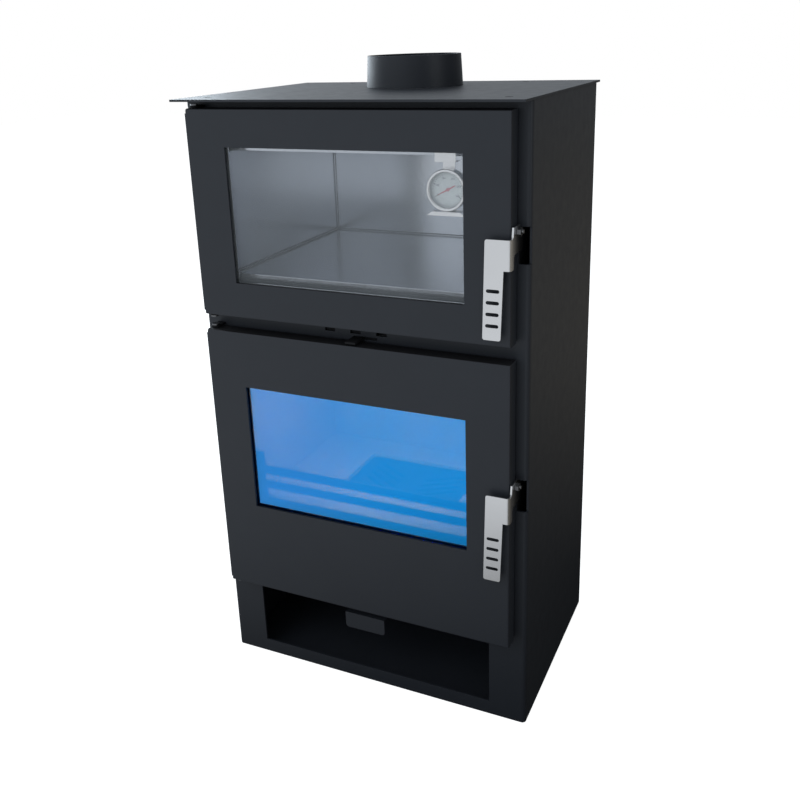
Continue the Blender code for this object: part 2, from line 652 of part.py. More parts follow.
def make_top_plate():
    """The hot plate, with the flue hole and countersunk screw holes."""
    width = SIDE_X + PLATE_SIDE_OVERHANG
    plate = add_object("top_plate", box((-width, width),
                                        (-PLATE_FRONT_OVERHANG, CASING_DEPTH + PLATE_BACK_OVERHANG),
                                        (PLATE_BOTTOM, PLATE_TOP)), painted("top_plate"))
    up = Vector((0, 0, 1))
    flue = point(0, CASING_DEPTH - COLLAR_TO_BACK, PLATE_TOP)
    carve(plate, rod(FLUE_HOLE_RADIUS, (-PLATE_THICKNESS - CUT_OVERRUN, CUT_OVERRUN), flue, up,
                     COLLAR_STEPS))
    head = SCREW_HEAD_RADIUS + FIT_GAP
    shank = SCREW_RADIUS + FIT_GAP
    sink = SCREW_HEAD_DEPTH + FIT_GAP
    for index, place in enumerate(screw_places()):
        slope = (head - shank) / sink
        profile = [(0, CUT_OVERRUN), (head + slope * CUT_OVERRUN, CUT_OVERRUN), (shank, -sink),
                   (shank, -PLATE_THICKNESS - CUT_OVERRUN), (0, -PLATE_THICKNESS - CUT_OVERRUN)]
        carve(plate, turned(profile, place, up))
        name = "top_plate_screw_" + str(index + 1)
        screw = add_object(name, turned([(0, 0), (SCREW_HEAD_RADIUS, 0), (SCREW_RADIUS, -SCREW_HEAD_DEPTH),
                                         (SCREW_RADIUS, -SCREW_LENGTH), (0, -SCREW_LENGTH)], place, up),
                           black_steel(name))
        shade_round(screw)


def make_flue_collar():
    """The slightly tapered spigot that the flue pipe slides over."""
    profile = [(COLLAR_BASE_RADIUS, 0), (COLLAR_TOP_RADIUS, COLLAR_HEIGHT),
               (COLLAR_TOP_RADIUS - COLLAR_WALL, COLLAR_HEIGHT), (COLLAR_BASE_RADIUS - COLLAR_WALL, 0)]
    foot = point(0, CASING_DEPTH - COLLAR_TO_BACK, PLATE_TOP + FIT_GAP)
    collar = add_object("flue_collar", turned(profile, foot, Vector((0, 0, 1)), COLLAR_STEPS),
                        painted("flue_collar"))
    shade_round(collar)


def make_oven_liner():
    """The stainless oven box, open at the front, with a flange that lies on the front panel."""
    outer = OVEN_HALF_WIDTH + LINER_WALL
    rim = OVEN_HALF_WIDTH + LINER_FLANGE
    bm = box((-outer, outer), (LINER_FLANGE_FRONT, OVEN_DEPTH + LINER_WALL),
             (OVEN_FLOOR - LINER_WALL, OVEN_CEILING + LINER_WALL))
    liner = add_object("oven_liner", bm, stainless("oven_liner"))
    carve(liner, box((-rim, rim), (LINER_FLANGE_FRONT, -FIT_GAP),
                     (OVEN_FLOOR - LINER_FLANGE, OVEN_CEILING + LINER_FLANGE)), operation="UNION")
    carve(liner, box((-OVEN_HALF_WIDTH, OVEN_HALF_WIDTH), (LINER_FLANGE_FRONT - CUT_OVERRUN, OVEN_DEPTH),
                     (OVEN_FLOOR, OVEN_CEILING)))


def make_firebox_lining():
    """The vermiculite boards, which stand on the hearth plate, and the baffle on top of them."""
    low = HEARTH_PLATE_TOP + FIT_GAP
    back_face = LINING_BACK - BRICK - FIT_GAP
    for name, side in (("firebrick_left", -1), ("firebrick_right", 1)):
        span = sorted((side * LINING_HALF_WIDTH, side * (LINING_HALF_WIDTH - BRICK)))
        add_object(name, box(span, (BRICK_FRONT_SETBACK, back_face), (low, SIDE_BRICK_TOP)), brick(name))
    add_object("firebrick_back", box((-LINING_HALF_WIDTH, LINING_HALF_WIDTH),
                                     (LINING_BACK - BRICK, LINING_BACK), (low, SIDE_BRICK_TOP)),
               brick("firebrick_back"))
    add_object("baffle_board", box((-LINING_HALF_WIDTH, LINING_HALF_WIDTH),
                                   (BAFFLE_FRONT_SETBACK, LINING_BACK),
                                   (SIDE_BRICK_TOP + FIT_GAP, SIDE_BRICK_TOP + FIT_GAP + BRICK)),
               brick("baffle_board"))
    half = LINING_HALF_WIDTH - BRICK - FIT_GAP
    board = add_object("hearth_board", box((-half, half), (INSIDE_FRONT, back_face), (low, HEARTH_TOP)),
                       brick("hearth_board"))
    hole = GRATE_HALF_WIDTH + FIT_GAP
    carve(board, box((-hole, hole), (GRATE_FRONT_SETBACK - FIT_GAP, GRATE_BACK + FIT_GAP),
                     (low - CUT_OVERRUN, HEARTH_TOP + CUT_OVERRUN)))


def make_hearth_plate():
    """The steel plate that carries the lining and the grate over the ash pan."""
    plate = add_object("hearth_plate", box((-LINING_HALF_WIDTH, LINING_HALF_WIDTH),
                                           (INSIDE_FRONT, LINING_BACK),
                                           (HEARTH_PLATE_BOTTOM, HEARTH_PLATE_TOP)),
                       black_steel("hearth_plate"))
    hole = GRATE_HALF_WIDTH - GRATE_LEDGE
    carve(plate, box((-hole, hole), (GRATE_FRONT_SETBACK + GRATE_LEDGE, GRATE_BACK - GRATE_LEDGE),
                     (HEARTH_PLATE_BOTTOM - CUT_OVERRUN, HEARTH_PLATE_TOP + CUT_OVERRUN)))


def make_fire_grate():
    """The cast grate, with slanted slots that lean opposite ways on its two halves."""
    low = HEARTH_PLATE_TOP + FIT_GAP
    grate = add_object("fire_grate", box((-GRATE_HALF_WIDTH, GRATE_HALF_WIDTH),
                                         (GRATE_FRONT_SETBACK, GRATE_BACK), (low, low + GRATE_THICKNESS)),
                       cast_iron("fire_grate"))
    slots = bmesh.new()
    length = GRATE_HALF_WIDTH - GRATE_RIM - GRATE_RIM
    middle_depth = (GRATE_FRONT_SETBACK + GRATE_BACK) / 2
    usable = GRATE_BACK - GRATE_FRONT_SETBACK - 2 * GRATE_RIM - length * math.sin(GRATE_SLOT_ANGLE)
    count = int(usable / GRATE_SLOT_PITCH) + 1
    for side in (-1, 1):
        for index in range(count):
            offset = (index - (count - 1) / 2) * GRATE_SLOT_PITCH
            centre = point(side * GRATE_HALF_WIDTH / 2, middle_depth + offset, low + GRATE_THICKNESS / 2)
            verts = add_box(slots, (-length / 2, length / 2), (-GRATE_SLOT_WIDTH / 2, GRATE_SLOT_WIDTH / 2),
                            (-GRATE_THICKNESS, GRATE_THICKNESS))
            bmesh.ops.translate(slots, verts=verts, vec=-point(0, 0, 0))
            bmesh.ops.rotate(slots, verts=verts, cent=(0, 0, 0),
                             matrix=Matrix.Rotation(side * GRATE_SLOT_ANGLE, 3, "Z"))
            bmesh.ops.translate(slots, verts=verts, vec=centre)
    carve(grate, slots)


def make_log_guard():
    """A cut plate with two feet that stands on the hearth just inside the firebox mouth."""
    bottom = HEARTH_TOP + FIT_GAP
    half = MOUTH_HALF_WIDTH
    inner = half - GUARD_UPRIGHT_WIDTH
    top = HEARTH_TOP + GUARD_HEIGHT
    bar_top = HEARTH_TOP + GUARD_UPPER_BAR_TOP
    outline = [(-half, bottom), (half, bottom), (half, top), (inner, top), (inner, bar_top),
               (-inner, bar_top), (-inner, top), (-half, top)]
    span = (GUARD_SETBACK, GUARD_SETBACK + GUARD_THICKNESS)
    guard = add_object("log_guard", front_prism(outline, span), cast_iron("log_guard"))
    gaps = bmesh.new()
    through = (GUARD_SETBACK - CUT_OVERRUN, GUARD_SETBACK + GUARD_THICKNESS + CUT_OVERRUN)
    for low, high in ((GUARD_MIDDLE_BAR_TOP, GUARD_UPPER_BAR_BOTTOM),
                      (GUARD_LOWER_BAR_TOP, GUARD_MIDDLE_BAR_BOTTOM)):
        add_box(gaps, (-inner, inner), through, (HEARTH_TOP + low, HEARTH_TOP + high))
    carve(guard, gaps)
    feet = bmesh.new()
    back = GUARD_SETBACK + GUARD_THICKNESS
    for side in (-1, 1):
        add_box(feet, sorted((side * half, side * inner)), (back - GUARD_THICKNESS / 2,
                                                            back + GUARD_FOOT_LENGTH),
                (bottom, bottom + GUARD_THICKNESS))
    carve(guard, feet, operation="UNION")


def make_ash_pan():
    """The tray that catches ash under the grate, with a folded pull at its front edge."""
    low = FIREBOX_FLOOR + SHEET + FIT_GAP
    top = HEARTH_PLATE_BOTTOM - ASH_PAN_HEADROOM
    back = CASING_DEPTH - ASH_PAN_TO_BACK
    half = ASH_PAN_HALF_WIDTH
    pan = add_object("ash_pan", box((-half, half), (ASH_PAN_SETBACK, back), (low, top)),
                     stainless("ash_pan"))
    inner = half - ASH_PAN_WALL
    carve(pan, box((-inner, inner), (ASH_PAN_SETBACK + ASH_PAN_WALL, back - ASH_PAN_WALL),
                   (low + ASH_PAN_WALL, top + CUT_OVERRUN)))
    pull = ASH_PAN_TAB_HALF_WIDTH
    carve(pan, box((-pull, pull), (ASH_PAN_SETBACK - ASH_PAN_TAB_DEPTH, ASH_PAN_SETBACK + ASH_PAN_WALL / 2),
                   (top - ASH_PAN_WALL, top)), operation="UNION")


def make_air_box():
    """The box that leads primary air to the floor's holes, with guide lips for the slide."""
    half = AIR_BOX_HALF_WIDTH
    top = FIREBOX_FLOOR - FIT_GAP
    wall = AIR_BOX_WALL
    shell = add_object("air_box", box((-half, half), (INSIDE_FRONT, AIR_BOX_DEPTH),
                                      (AIR_BOX_BOTTOM, top)), black_steel("air_box"))
    carve(shell, box((-half + wall, half - wall), (INSIDE_FRONT + wall, AIR_BOX_DEPTH - wall),
                     (AIR_BOX_BOTTOM + wall, top + CUT_OVERRUN)))
    slide_bottom = PULL_TOP - PULL_THICKNESS
    lip_top = slide_bottom - FIT_GAP
    inner = PULL_HALF_WIDTH + FIT_GAP
    lips = bmesh.new()
    for side in (-1, 1):
        outline = [(side * inner, AIR_BOX_BOTTOM + wall / 2),
                   (side * (inner + wall), AIR_BOX_BOTTOM + wall / 2),
                   (side * (inner + wall), lip_top - wall), (side * (inner - GUIDE_LIP), lip_top - wall),
                   (side * (inner - GUIDE_LIP), lip_top), (side * inner, lip_top)]
        corners = [point(x, INSIDE_FRONT, z) for x, z in outline]
        add_prism(lips, corners, Vector((0, AIR_BOX_DEPTH - INSIDE_FRONT, 0)))
    carve(shell, lips, operation="UNION")
    carve(shell, box((-PULL_INLET_HALF_WIDTH, PULL_INLET_HALF_WIDTH),
                     (PULL_INLET_SETBACK, PULL_INLET_SETBACK + PULL_INLET_DEPTH),
                     (AIR_BOX_BOTTOM - CUT_OVERRUN / 4, AIR_BOX_BOTTOM + wall + CUT_OVERRUN)))


def make_primary_air_slide():
    """The pull slide in the niche: a bare front tab bent down from a plate with an air hole."""
    top = PULL_TOP
    bottom = top - PULL_THICKNESS
    low = top - PULL_TAB_HEIGHT
    end = PULL_END
    half = PULL_HALF_WIDTH
    front = PULL_FRONT_SETBACK
    frame = frame_empty("primary_air_frame", point(0, front, top))
    profile = [(front, low), (front + PULL_THICKNESS, low), (front + PULL_THICKNESS, bottom),
               (end, bottom), (end, top), (front, top)]
    slide = add_object("primary_air_slide", side_prism(profile, (-half, half)),
                       painted("primary_air_slide"), frame)
    carve(slide, box((-PULL_INLET_HALF_WIDTH, PULL_INLET_HALF_WIDTH),
                     (PULL_HOLE_SETBACK, PULL_HOLE_SETBACK + PULL_INLET_DEPTH),
                     (bottom - CUT_OVERRUN, top + CUT_OVERRUN)), frame)
    radius = PULL_TAB_CORNER
    rounded = arc((-half + radius, low + radius), radius, 180, 270, CORNER_STEPS)
    rounded += arc((half - radius, low + radius), radius, 270, 360, CORNER_STEPS)
    keep = [(-half - CUT_OVERRUN, top + CUT_OVERRUN), (-half - CUT_OVERRUN, bottom)]
    keep += [(-half, bottom)] + rounded + [(half, bottom), (half + CUT_OVERRUN, bottom)]
    keep += [(half + CUT_OVERRUN, top + CUT_OVERRUN)]
    carve(slide, front_prism(keep, (front - CUT_OVERRUN, end + CUT_OVERRUN)), frame, "INTERSECT")


def make_secondary_air_slide():
    """The shutter behind the front panel, with its tab through the slot between the doors."""
    front = INSIDE_FRONT
    frame = frame_empty("secondary_air_frame", point(SHUTTER_TAB_CENTRE, 0, SHUTTER_TAB_BOTTOM))
    shutter = add_object("secondary_air_slide",
                         box((-SHUTTER_HALF_WIDTH, SHUTTER_HALF_WIDTH), (front, front + SHUTTER_THICKNESS),
                             (SHUTTER_BOTTOM, SHUTTER_TOP)), black_steel("secondary_air_slide"), frame)
    carve(shutter, box((SHUTTER_TAB_CENTRE - SHUTTER_TAB_HALF_WIDTH,
                        SHUTTER_TAB_CENTRE + SHUTTER_TAB_HALF_WIDTH),
                       (-SHUTTER_TAB_REACH, front + SHUTTER_THICKNESS / 2),
                       (SHUTTER_TAB_BOTTOM, SHUTTER_TAB_BOTTOM + SHUTTER_TAB_THICKNESS)),
          frame, "UNION")
    holes = bmesh.new()
    for index in (-1, 0, 1):
        middle = index * AIR_SLOT_PITCH - SHUTTER_TRAVEL
        add_box(holes, (middle - AIR_SLOT_HALF_WIDTH, middle + AIR_SLOT_HALF_WIDTH),
                (front - CUT_OVERRUN / 2, front + SHUTTER_THICKNESS + CUT_OVERRUN),
                (AIR_SLOT_BOTTOM, AIR_SLOT_BOTTOM + AIR_SLOT_HEIGHT))
    carve(shutter, holes, frame)


def make_air_wash_duct():
    """The hood behind the front panel that turns secondary air down over the firebox glass."""
    half = DUCT_HALF_WIDTH
    wall = DUCT_WALL
    back = INSIDE_FRONT + DUCT_DEPTH
    duct = add_object("air_wash_duct", box((-half, half), (INSIDE_FRONT, back), (DUCT_BOTTOM, DUCT_TOP)),
                      black_steel("air_wash_duct"))
    carve(duct, box((-half + wall, half - wall), (INSIDE_FRONT - CUT_OVERRUN, back - wall),
                    (DUCT_BOTTOM - CUT_OVERRUN, DUCT_TOP - wall)))


def tongue_heights(door):
    """The lower faces of a door's two hinge tongues."""
    return (door.top + FIT_GAP, door.bottom - FIT_GAP - TONGUE_THICKNESS)


def make_hinges(door):
    """Two tongues through the front panel, each with a headed pin into the door."""
    for end, low, side in (("top", tongue_heights(door)[0], 1), ("bottom", tongue_heights(door)[1], -1)):
        round_end = arc((HINGE_X, -HINGE_SETBACK), TONGUE_HALF_WIDTH, 180, 360, 2 * CORNER_STEPS)
        outline = [(HINGE_X - TONGUE_HALF_WIDTH, TONGUE_TAIL)] + round_end
        outline += [(HINGE_X + TONGUE_HALF_WIDTH, TONGUE_TAIL)]
        name = door.name + "_hinge_tongue_" + end
        tongue = add_object(name, plan_prism(outline, (low, low + TONGUE_THICKNESS)), black_steel(name))
        up = Vector((0, 0, 1))
        carve(tongue, rod(HINGE_PIN_RADIUS + FIT_GAP, (-CUT_OVERRUN, TONGUE_THICKNESS + CUT_OVERRUN),
                          hinge_axis_place(low), up))
        seat = low + TONGUE_THICKNESS if side > 0 else low
        head_top = FIT_GAP + HINGE_PIN_HEAD_HEIGHT
        tip = -TONGUE_THICKNESS - HINGE_PIN_REACH
        profile = [(0, head_top), (HINGE_PIN_HEAD_RADIUS, head_top), (HINGE_PIN_HEAD_RADIUS, FIT_GAP),
                   (HINGE_PIN_RADIUS, FIT_GAP), (HINGE_PIN_RADIUS, tip), (0, tip)]
        name = door.name + "_hinge_pin_" + end
        pin = add_object(name, turned(profile, hinge_axis_place(seat), side * up), stainless(name))
        shade_round(pin)


def make_door_panel(door, frame):
    """The bent door tray, with its window, hinge holes, stud hole and cut left corners."""
    bm = box((-DOOR_HALF_WIDTH, DOOR_HALF_WIDTH), (-DOOR_REACH, PAN_BACK), (door.bottom, door.top))
    front = [edge for edge in bm.edges if all(vert.co.y < FRONT_Y - DOOR_REACH + FIT_GAP
                                              for vert in edge.verts)]
    bmesh.ops.bevel(bm, geom=front, offset=DOOR_EDGE_RADIUS, offset_type="OFFSET",
                    segments=DOOR_EDGE_STEPS, profile=0.5, affect="EDGES")
    name = door.name + "_door_panel"
    panel = add_object(name, bm, painted(name), frame)
    inner = DOOR_HALF_WIDTH - SHEET
    carve(panel, box((-inner, inner), (PAN_INNER, PAN_BACK + CUT_OVERRUN),
                     (door.bottom + SHEET, door.top - SHEET)), frame)
    carve(panel, box((-WINDOW_HALF_WIDTH, WINDOW_HALF_WIDTH), (-DOOR_REACH - CUT_OVERRUN,
                                                               PAN_INNER + CUT_OVERRUN),
                     (door.window_bottom, door.window_top)), frame)
    notches = bmesh.new()
    left = (-DOOR_HALF_WIDTH - CUT_OVERRUN, -DOOR_HALF_WIDTH + NOTCH_WIDTH)
    deep = (-DOOR_REACH - CUT_OVERRUN, PAN_BACK + CUT_OVERRUN)
    add_box(notches, left, deep, (door.top - NOTCH_HEIGHT, door.top + CUT_OVERRUN))
    add_box(notches, left, deep, (door.bottom - CUT_OVERRUN, door.bottom + NOTCH_HEIGHT))
    carve(panel, notches, frame)
    hole = HINGE_PIN_RADIUS + RUNNING_GAP
    up = Vector((0, 0, 1))
    for height in (door.bottom, door.top):
        carve(panel, rod(hole, (-SHEET - CUT_OVERRUN, SHEET + CUT_OVERRUN), hinge_axis_place(height), up),
              frame)
    stud = point(DOOR_HALF_WIDTH, -HANDLE_PIVOT_SETBACK, door.handle)
    carve(panel, rod(STUD_RADIUS + FIT_GAP, (-SHEET - CUT_OVERRUN / 4, CUT_OVERRUN), stud,
                     Vector((1, 0, 0))), frame)


def make_door_glazing(door, frame):
    """The window's tape, glass and clamping frame, in order behind the door's face."""
    low = door.window_bottom
    high = door.window_top
    tape_out = GLASS_LAP
    tape_in = GLASS_LAP - GLASS_TAPE_WIDTH
    name = door.name + "_glass_tape"
    profile = [(tape_in, TAPE_FRONT), (tape_out, TAPE_FRONT),
               (tape_out, TAPE_FRONT + GLASS_TAPE_THICKNESS), (tape_in, TAPE_FRONT + GLASS_TAPE_THICKNESS)]
    add_object(name, mitred_ring(WINDOW_HALF_WIDTH, (low, high), profile), rope_fibre(name), frame)
    half = WINDOW_HALF_WIDTH + GLASS_LAP
    name = door.name + "_glass"
    add_object(name, box((-half, half), (GLASS_FRONT, GLASS_BACK), (low - GLASS_LAP, high + GLASS_LAP)),
               material(name, (0.85, 0.90, 0.95), 0.05, alpha=0.35), frame)
    name = door.name + "_glass_frame"
    frame_out = GLASS_LAP + GLASS_FRAME_LAP
    frame_in = GLASS_FRAME_SETBACK
    profile = [(frame_in, FRAME_FRONT), (frame_out, FRAME_FRONT), (frame_out, FRAME_BACK),
               (frame_in, FRAME_BACK)]
    add_object(name, mitred_ring(WINDOW_HALF_WIDTH, (low, high), profile), stainless(name), frame)


def make_door_seal(door, frame):
    """The gasket channel behind the door's face, and the rope that it holds."""
    span = (door.rope_bottom, door.rope_top)
    half = CHANNEL_WIDTH / 2
    groove = half - CHANNEL_WALL
    profile = [(-half, TAPE_FRONT), (half, TAPE_FRONT), (half, CHANNEL_BACK), (groove, CHANNEL_BACK),
               (groove, GROOVE_BOTTOM), (-groove, GROOVE_BOTTOM), (-groove, CHANNEL_BACK),
               (-half, CHANNEL_BACK)]
    name = door.name + "_gasket_channel"
    add_object(name, mitred_ring(door.rope_side, span, profile), black_steel(name), frame)
    front = GROOVE_BOTTOM + FIT_GAP
    back = -FIT_GAP
    middle = (front + back) / 2
    reach = (back - front) / 2
    profile = []
    for step in range(4 * ROPE_CORNER_STEPS):
        angle = math.tau * (step + 0.5) / (4 * ROPE_CORNER_STEPS)
        widen = 1 / math.cos(math.pi / (4 * ROPE_CORNER_STEPS))
        profile.append((ROPE_HALF_WIDTH * widen * math.cos(angle), middle + reach * widen * math.sin(angle)))
    name = door.name + "_rope_gasket"
    add_object(name, mitred_ring(door.rope_side, span, profile), rope_fibre(name), frame)


def handle_front_outline(pivot_z):
    """The handle's outline seen from the front: grip, shoulder and the strip that bends back."""
    left = HANDLE_FLANGE_X + HANDLE_SHEET - HANDLE_BEND_RADIUS - GRIP_WIDTH
    top = pivot_z - GRIP_TOP_DROP
    shoulder = pivot_z - GRIP_SHOULDER_DROP
    bottom = pivot_z - GRIP_BOTTOM_DROP
    bend = left + GRIP_WIDTH
    beyond = HANDLE_FLANGE_X + HANDLE_SHEET + CUT_OVERRUN
    above = pivot_z + FLANGE_RISE + CUT_OVERRUN
    corner = GRIP_CORNER
    right = left + GRIP_NARROW_WIDTH
    outline = arc((left + corner, top - corner), corner, 180, 90, CORNER_STEPS)
    outline += [(bend, top), (bend, above), (beyond, above), (beyond, shoulder), (right, shoulder)]
    outline += arc((right - GRIP_LEAN - corner, bottom + corner), corner, 0, -90, CORNER_STEPS)
    outline += arc((left - GRIP_LEAN + corner, bottom + corner), corner, 270, 180, CORNER_STEPS)
    return outline


def handle_side_outline(pivot_z):
    """The handle's outline seen from the side: grip edge, neck, flange and the latch behind it."""
    front = -HANDLE_REACH - CUT_OVERRUN
    grip_top = pivot_z - GRIP_TOP_DROP
    below = pivot_z - GRIP_BOTTOM_DROP - CUT_OVERRUN
    bend_back = -HANDLE_REACH + HANDLE_BEND_RADIUS
    top = pivot_z + FLANGE_RISE
    drop = pivot_z - FLANGE_DROP
    latch_top = pivot_z + LATCH_RISE
    strip_back = -FLANGE_FRONT + FLANGE_STEP
    outline = [(front, below), (front, grip_top), (bend_back, grip_top),
               (-FLANGE_FRONT - FLANGE_NECK, grip_top + FLANGE_NECK), (-FLANGE_FRONT, top),
               (-LATCH_FRONT_GAP - FLANGE_NECK, top), (-LATCH_FRONT_GAP, latch_top),
               (LATCH_REACH, latch_top), (LATCH_REACH, pivot_z - LATCH_DROP),
               (LATCH_REACH / 2, drop), (strip_back, drop), (-FLANGE_FRONT, drop - FLANGE_STEP),
               (-FLANGE_FRONT, below)]
    return outline


def make_handle(door, door_frame):
    """One latch handle: a sheet bent through a right angle and cut to its two outlines."""
    pivot = point(HANDLE_FLANGE_X, -HANDLE_PIVOT_SETBACK, door.handle)
    frame = frame_empty(door.name + "_handle_frame", pivot, door_frame)
    name = door.name + "_door_handle"
    right = HANDLE_FLANGE_X + HANDLE_SHEET
    centre = (right - HANDLE_BEND_RADIUS, -HANDLE_REACH + HANDLE_BEND_RADIUS)
    inner_radius = HANDLE_BEND_RADIUS - HANDLE_SHEET
    left = centre[0] - GRIP_WIDTH - GRIP_LEAN - CUT_OVERRUN
    back = LATCH_REACH + CUT_OVERRUN
    outline = [(left, -HANDLE_REACH)]
    outline += arc(centre, HANDLE_BEND_RADIUS, 270, 360, HANDLE_BEND_STEPS)
    outline += [(right, back), (HANDLE_FLANGE_X, back)]
    outline += arc(centre, inner_radius, 360, 270, HANDLE_BEND_STEPS)
    outline += [(left, -HANDLE_REACH + HANDLE_SHEET)]
    low = door.handle - GRIP_BOTTOM_DROP - CUT_OVERRUN / 2
    high = door.handle + FLANGE_RISE + CUT_OVERRUN / 2
    handle = add_object(name, plan_prism(outline, (low, high)), stainless(name), frame)
    carve(handle, front_prism(handle_front_outline(door.handle), (-HANDLE_REACH - CUT_OVERRUN,
                                                                  back + CUT_OVERRUN)),
          frame, "INTERSECT")
    carve(handle, side_prism(handle_side_outline(door.handle), (left - CUT_OVERRUN, right + CUT_OVERRUN)),
          frame, "INTERSECT")
    slots = bmesh.new()
    grip_left = handle_front_outline(door.handle)[0][0]
    fall = GRIP_BOTTOM_DROP - GRIP_TOP_DROP
    half = GRIP_SLOT_HEIGHT / 2
    for index in range(GRIP_SLOT_COUNT):
        drop = GRIP_SLOT_FIRST_DROP + index * GRIP_SLOT_PITCH
        lean = GRIP_LEAN * (drop - GRIP_TOP_DROP) / fall
        middle = grip_left + GRIP_NARROW_WIDTH / 2 - lean
        height = door.handle - drop
        ends = GRIP_SLOT_HALF_LENGTH - half
        outline = arc((middle - ends, height), half, 90, 270, CORNER_STEPS)
        outline += arc((middle + ends, height), half, -90, 90, CORNER_STEPS)
        corners = [point(x, -HANDLE_REACH - CUT_OVERRUN, z) for x, z in outline]
        add_prism(slots, corners, Vector((0, HANDLE_SHEET + 2 * CUT_OVERRUN, 0)))
    carve(handle, slots, frame)
    eye = rod(STUD_RADIUS + RUNNING_GAP, (-CUT_OVERRUN, HANDLE_SHEET + CUT_OVERRUN), pivot, Vector((1, 0, 0)))
    carve(handle, eye, frame)


def make_handle_stud(door, frame):
    """The stud riveted in the door's side, and the nut that keeps the handle on it."""
    across = Vector((1, 0, 0))
    face = point(DOOR_HALF_WIDTH, -HANDLE_PIVOT_SETBACK, door.handle)
    head = -SHEET - FIT_GAP
    nut_start = HANDLE_STANDOFF + HANDLE_SHEET + FIT_GAP
    end = nut_start + NUT_HEIGHT + STUD_END
    profile = [(0, head - STUD_HEAD_LENGTH), (STUD_HEAD_RADIUS, head - STUD_HEAD_LENGTH),
               (STUD_HEAD_RADIUS, head), (STUD_RADIUS, head), (STUD_RADIUS, FIT_GAP),
               (STUD_SHOULDER_RADIUS, FIT_GAP), (STUD_SHOULDER_RADIUS, HANDLE_STANDOFF - FIT_GAP),
               (STUD_RADIUS, HANDLE_STANDOFF - FIT_GAP), (STUD_RADIUS, end), (0, end)]
    name = door.name + "_handle_stud"
    stud = add_object(name, turned(profile, face, across), black_steel(name), frame)
    shade_round(stud)
    name = door.name + "_handle_nut"
    nut = add_object(name, rod(NUT_ACROSS_FLATS / 2 / math.cos(math.pi / NUT_SIDES),
                               (nut_start, nut_start + NUT_HEIGHT), face, across, NUT_SIDES),
                     black_steel(name), frame)
    carve(nut, rod(STUD_RADIUS + FIT_GAP, (0, end + CUT_OVERRUN), face, across), frame)


def make_thermometer(door_frame):
    """The dial thermometer: a crimped case with lens and dial, on a strip hooked over the frame."""
    front = Vector((0, 1, 0))
    face = point(THERMOMETER_CENTRE, CASE_FRONT, THERMOMETER_HEIGHT)
    inner = CASE_RADIUS - CASE_WALL
    skirt = CASE_RADIUS - CASE_RIM
    edge = CASE_EDGE_RADIUS
    profile = [(0, CASE_DEPTH), (CASE_RADIUS, CASE_DEPTH)]
    profile += arc((CASE_RADIUS - edge, edge), edge, 0, -90, CASE_EDGE_STEPS)
    profile += arc((skirt + edge, edge), edge, -90, -180, CASE_EDGE_STEPS)
    profile += [(skirt, CASE_SKIRT_DEPTH), (skirt + CASE_WALL, CASE_SKIRT_DEPTH),
                (skirt + CASE_WALL, CASE_WALL), (inner, CASE_WALL), (inner, CASE_DEPTH - CASE_WALL),
                (0, CASE_DEPTH - CASE_WALL)]
    case = add_object("thermometer_case", turned(profile, face, front, COLLAR_STEPS),
                      stainless("thermometer_case"), door_frame)
    shade_round(case)
    disc = inner - FIT_GAP
    add_object("thermometer_lens", rod(disc, (LENS_SETBACK, LENS_SETBACK + LENS_THICKNESS), face, front,
                                       COLLAR_STEPS),
               material("thermometer_lens", (0.9, 0.93, 0.95), 0.05, alpha=0.35), door_frame)
    dial = [(SPINDLE_RADIUS + RUNNING_GAP, DIAL_SETBACK), (disc, DIAL_SETBACK),
            (disc, DIAL_SETBACK + DIAL_THICKNESS),
            (SPINDLE_RADIUS + RUNNING_GAP, DIAL_SETBACK + DIAL_THICKNESS)]
    add_object("thermometer_dial", turned(dial, face, front, COLLAR_STEPS),
               material("thermometer_dial", (0.80, 0.83, 0.82), 0.5), door_frame)
    make_thermometer_needle(face, door_frame)
    make_thermometer_coil(face, door_frame)
    make_thermometer_hanger(door_frame)


def make_thermometer_needle(face, door_frame):
    """The needle and its spindle, which turn together in front of the dial."""
    frame = frame_empty("thermometer_needle_frame", face, door_frame)
    axis = Vector((0, 1, 0))
    back = NEEDLE_SETBACK + NEEDLE_THICKNESS
    profile = [(0, NEEDLE_SETBACK), (NEEDLE_HUB_RADIUS, NEEDLE_SETBACK), (NEEDLE_HUB_RADIUS, back),
               (SPINDLE_RADIUS, back), (SPINDLE_RADIUS, COIL_BACK), (0, COIL_BACK)]
    needle = add_object("thermometer_needle", turned(profile, face, axis),
                        material("thermometer_needle", (0.60, 0.05, 0.06), 0.4), frame)
    along = (math.cos(NEEDLE_REST_ANGLE), math.sin(NEEDLE_REST_ANGLE))
    across = (-along[1], along[0])
    shares = ((1, 0), (0, 1), (-1, 0.5), (-1, -0.5), (0, -1))
    outline = []
    for run_share, width_share in shares:
        run = NEEDLE_TIP_LENGTH if run_share > 0 else NEEDLE_TAIL_LENGTH
        forward = run * run_share
        sideways = NEEDLE_HALF_WIDTH * width_share
        outline.append((face.x + forward * along[0] + sideways * across[0],
                        face.z + forward * along[1] + sideways * across[1]))
    start = CASE_FRONT + NEEDLE_SETBACK
    carve(needle, front_prism(outline, (start, start + NEEDLE_THICKNESS)), frame, "UNION")


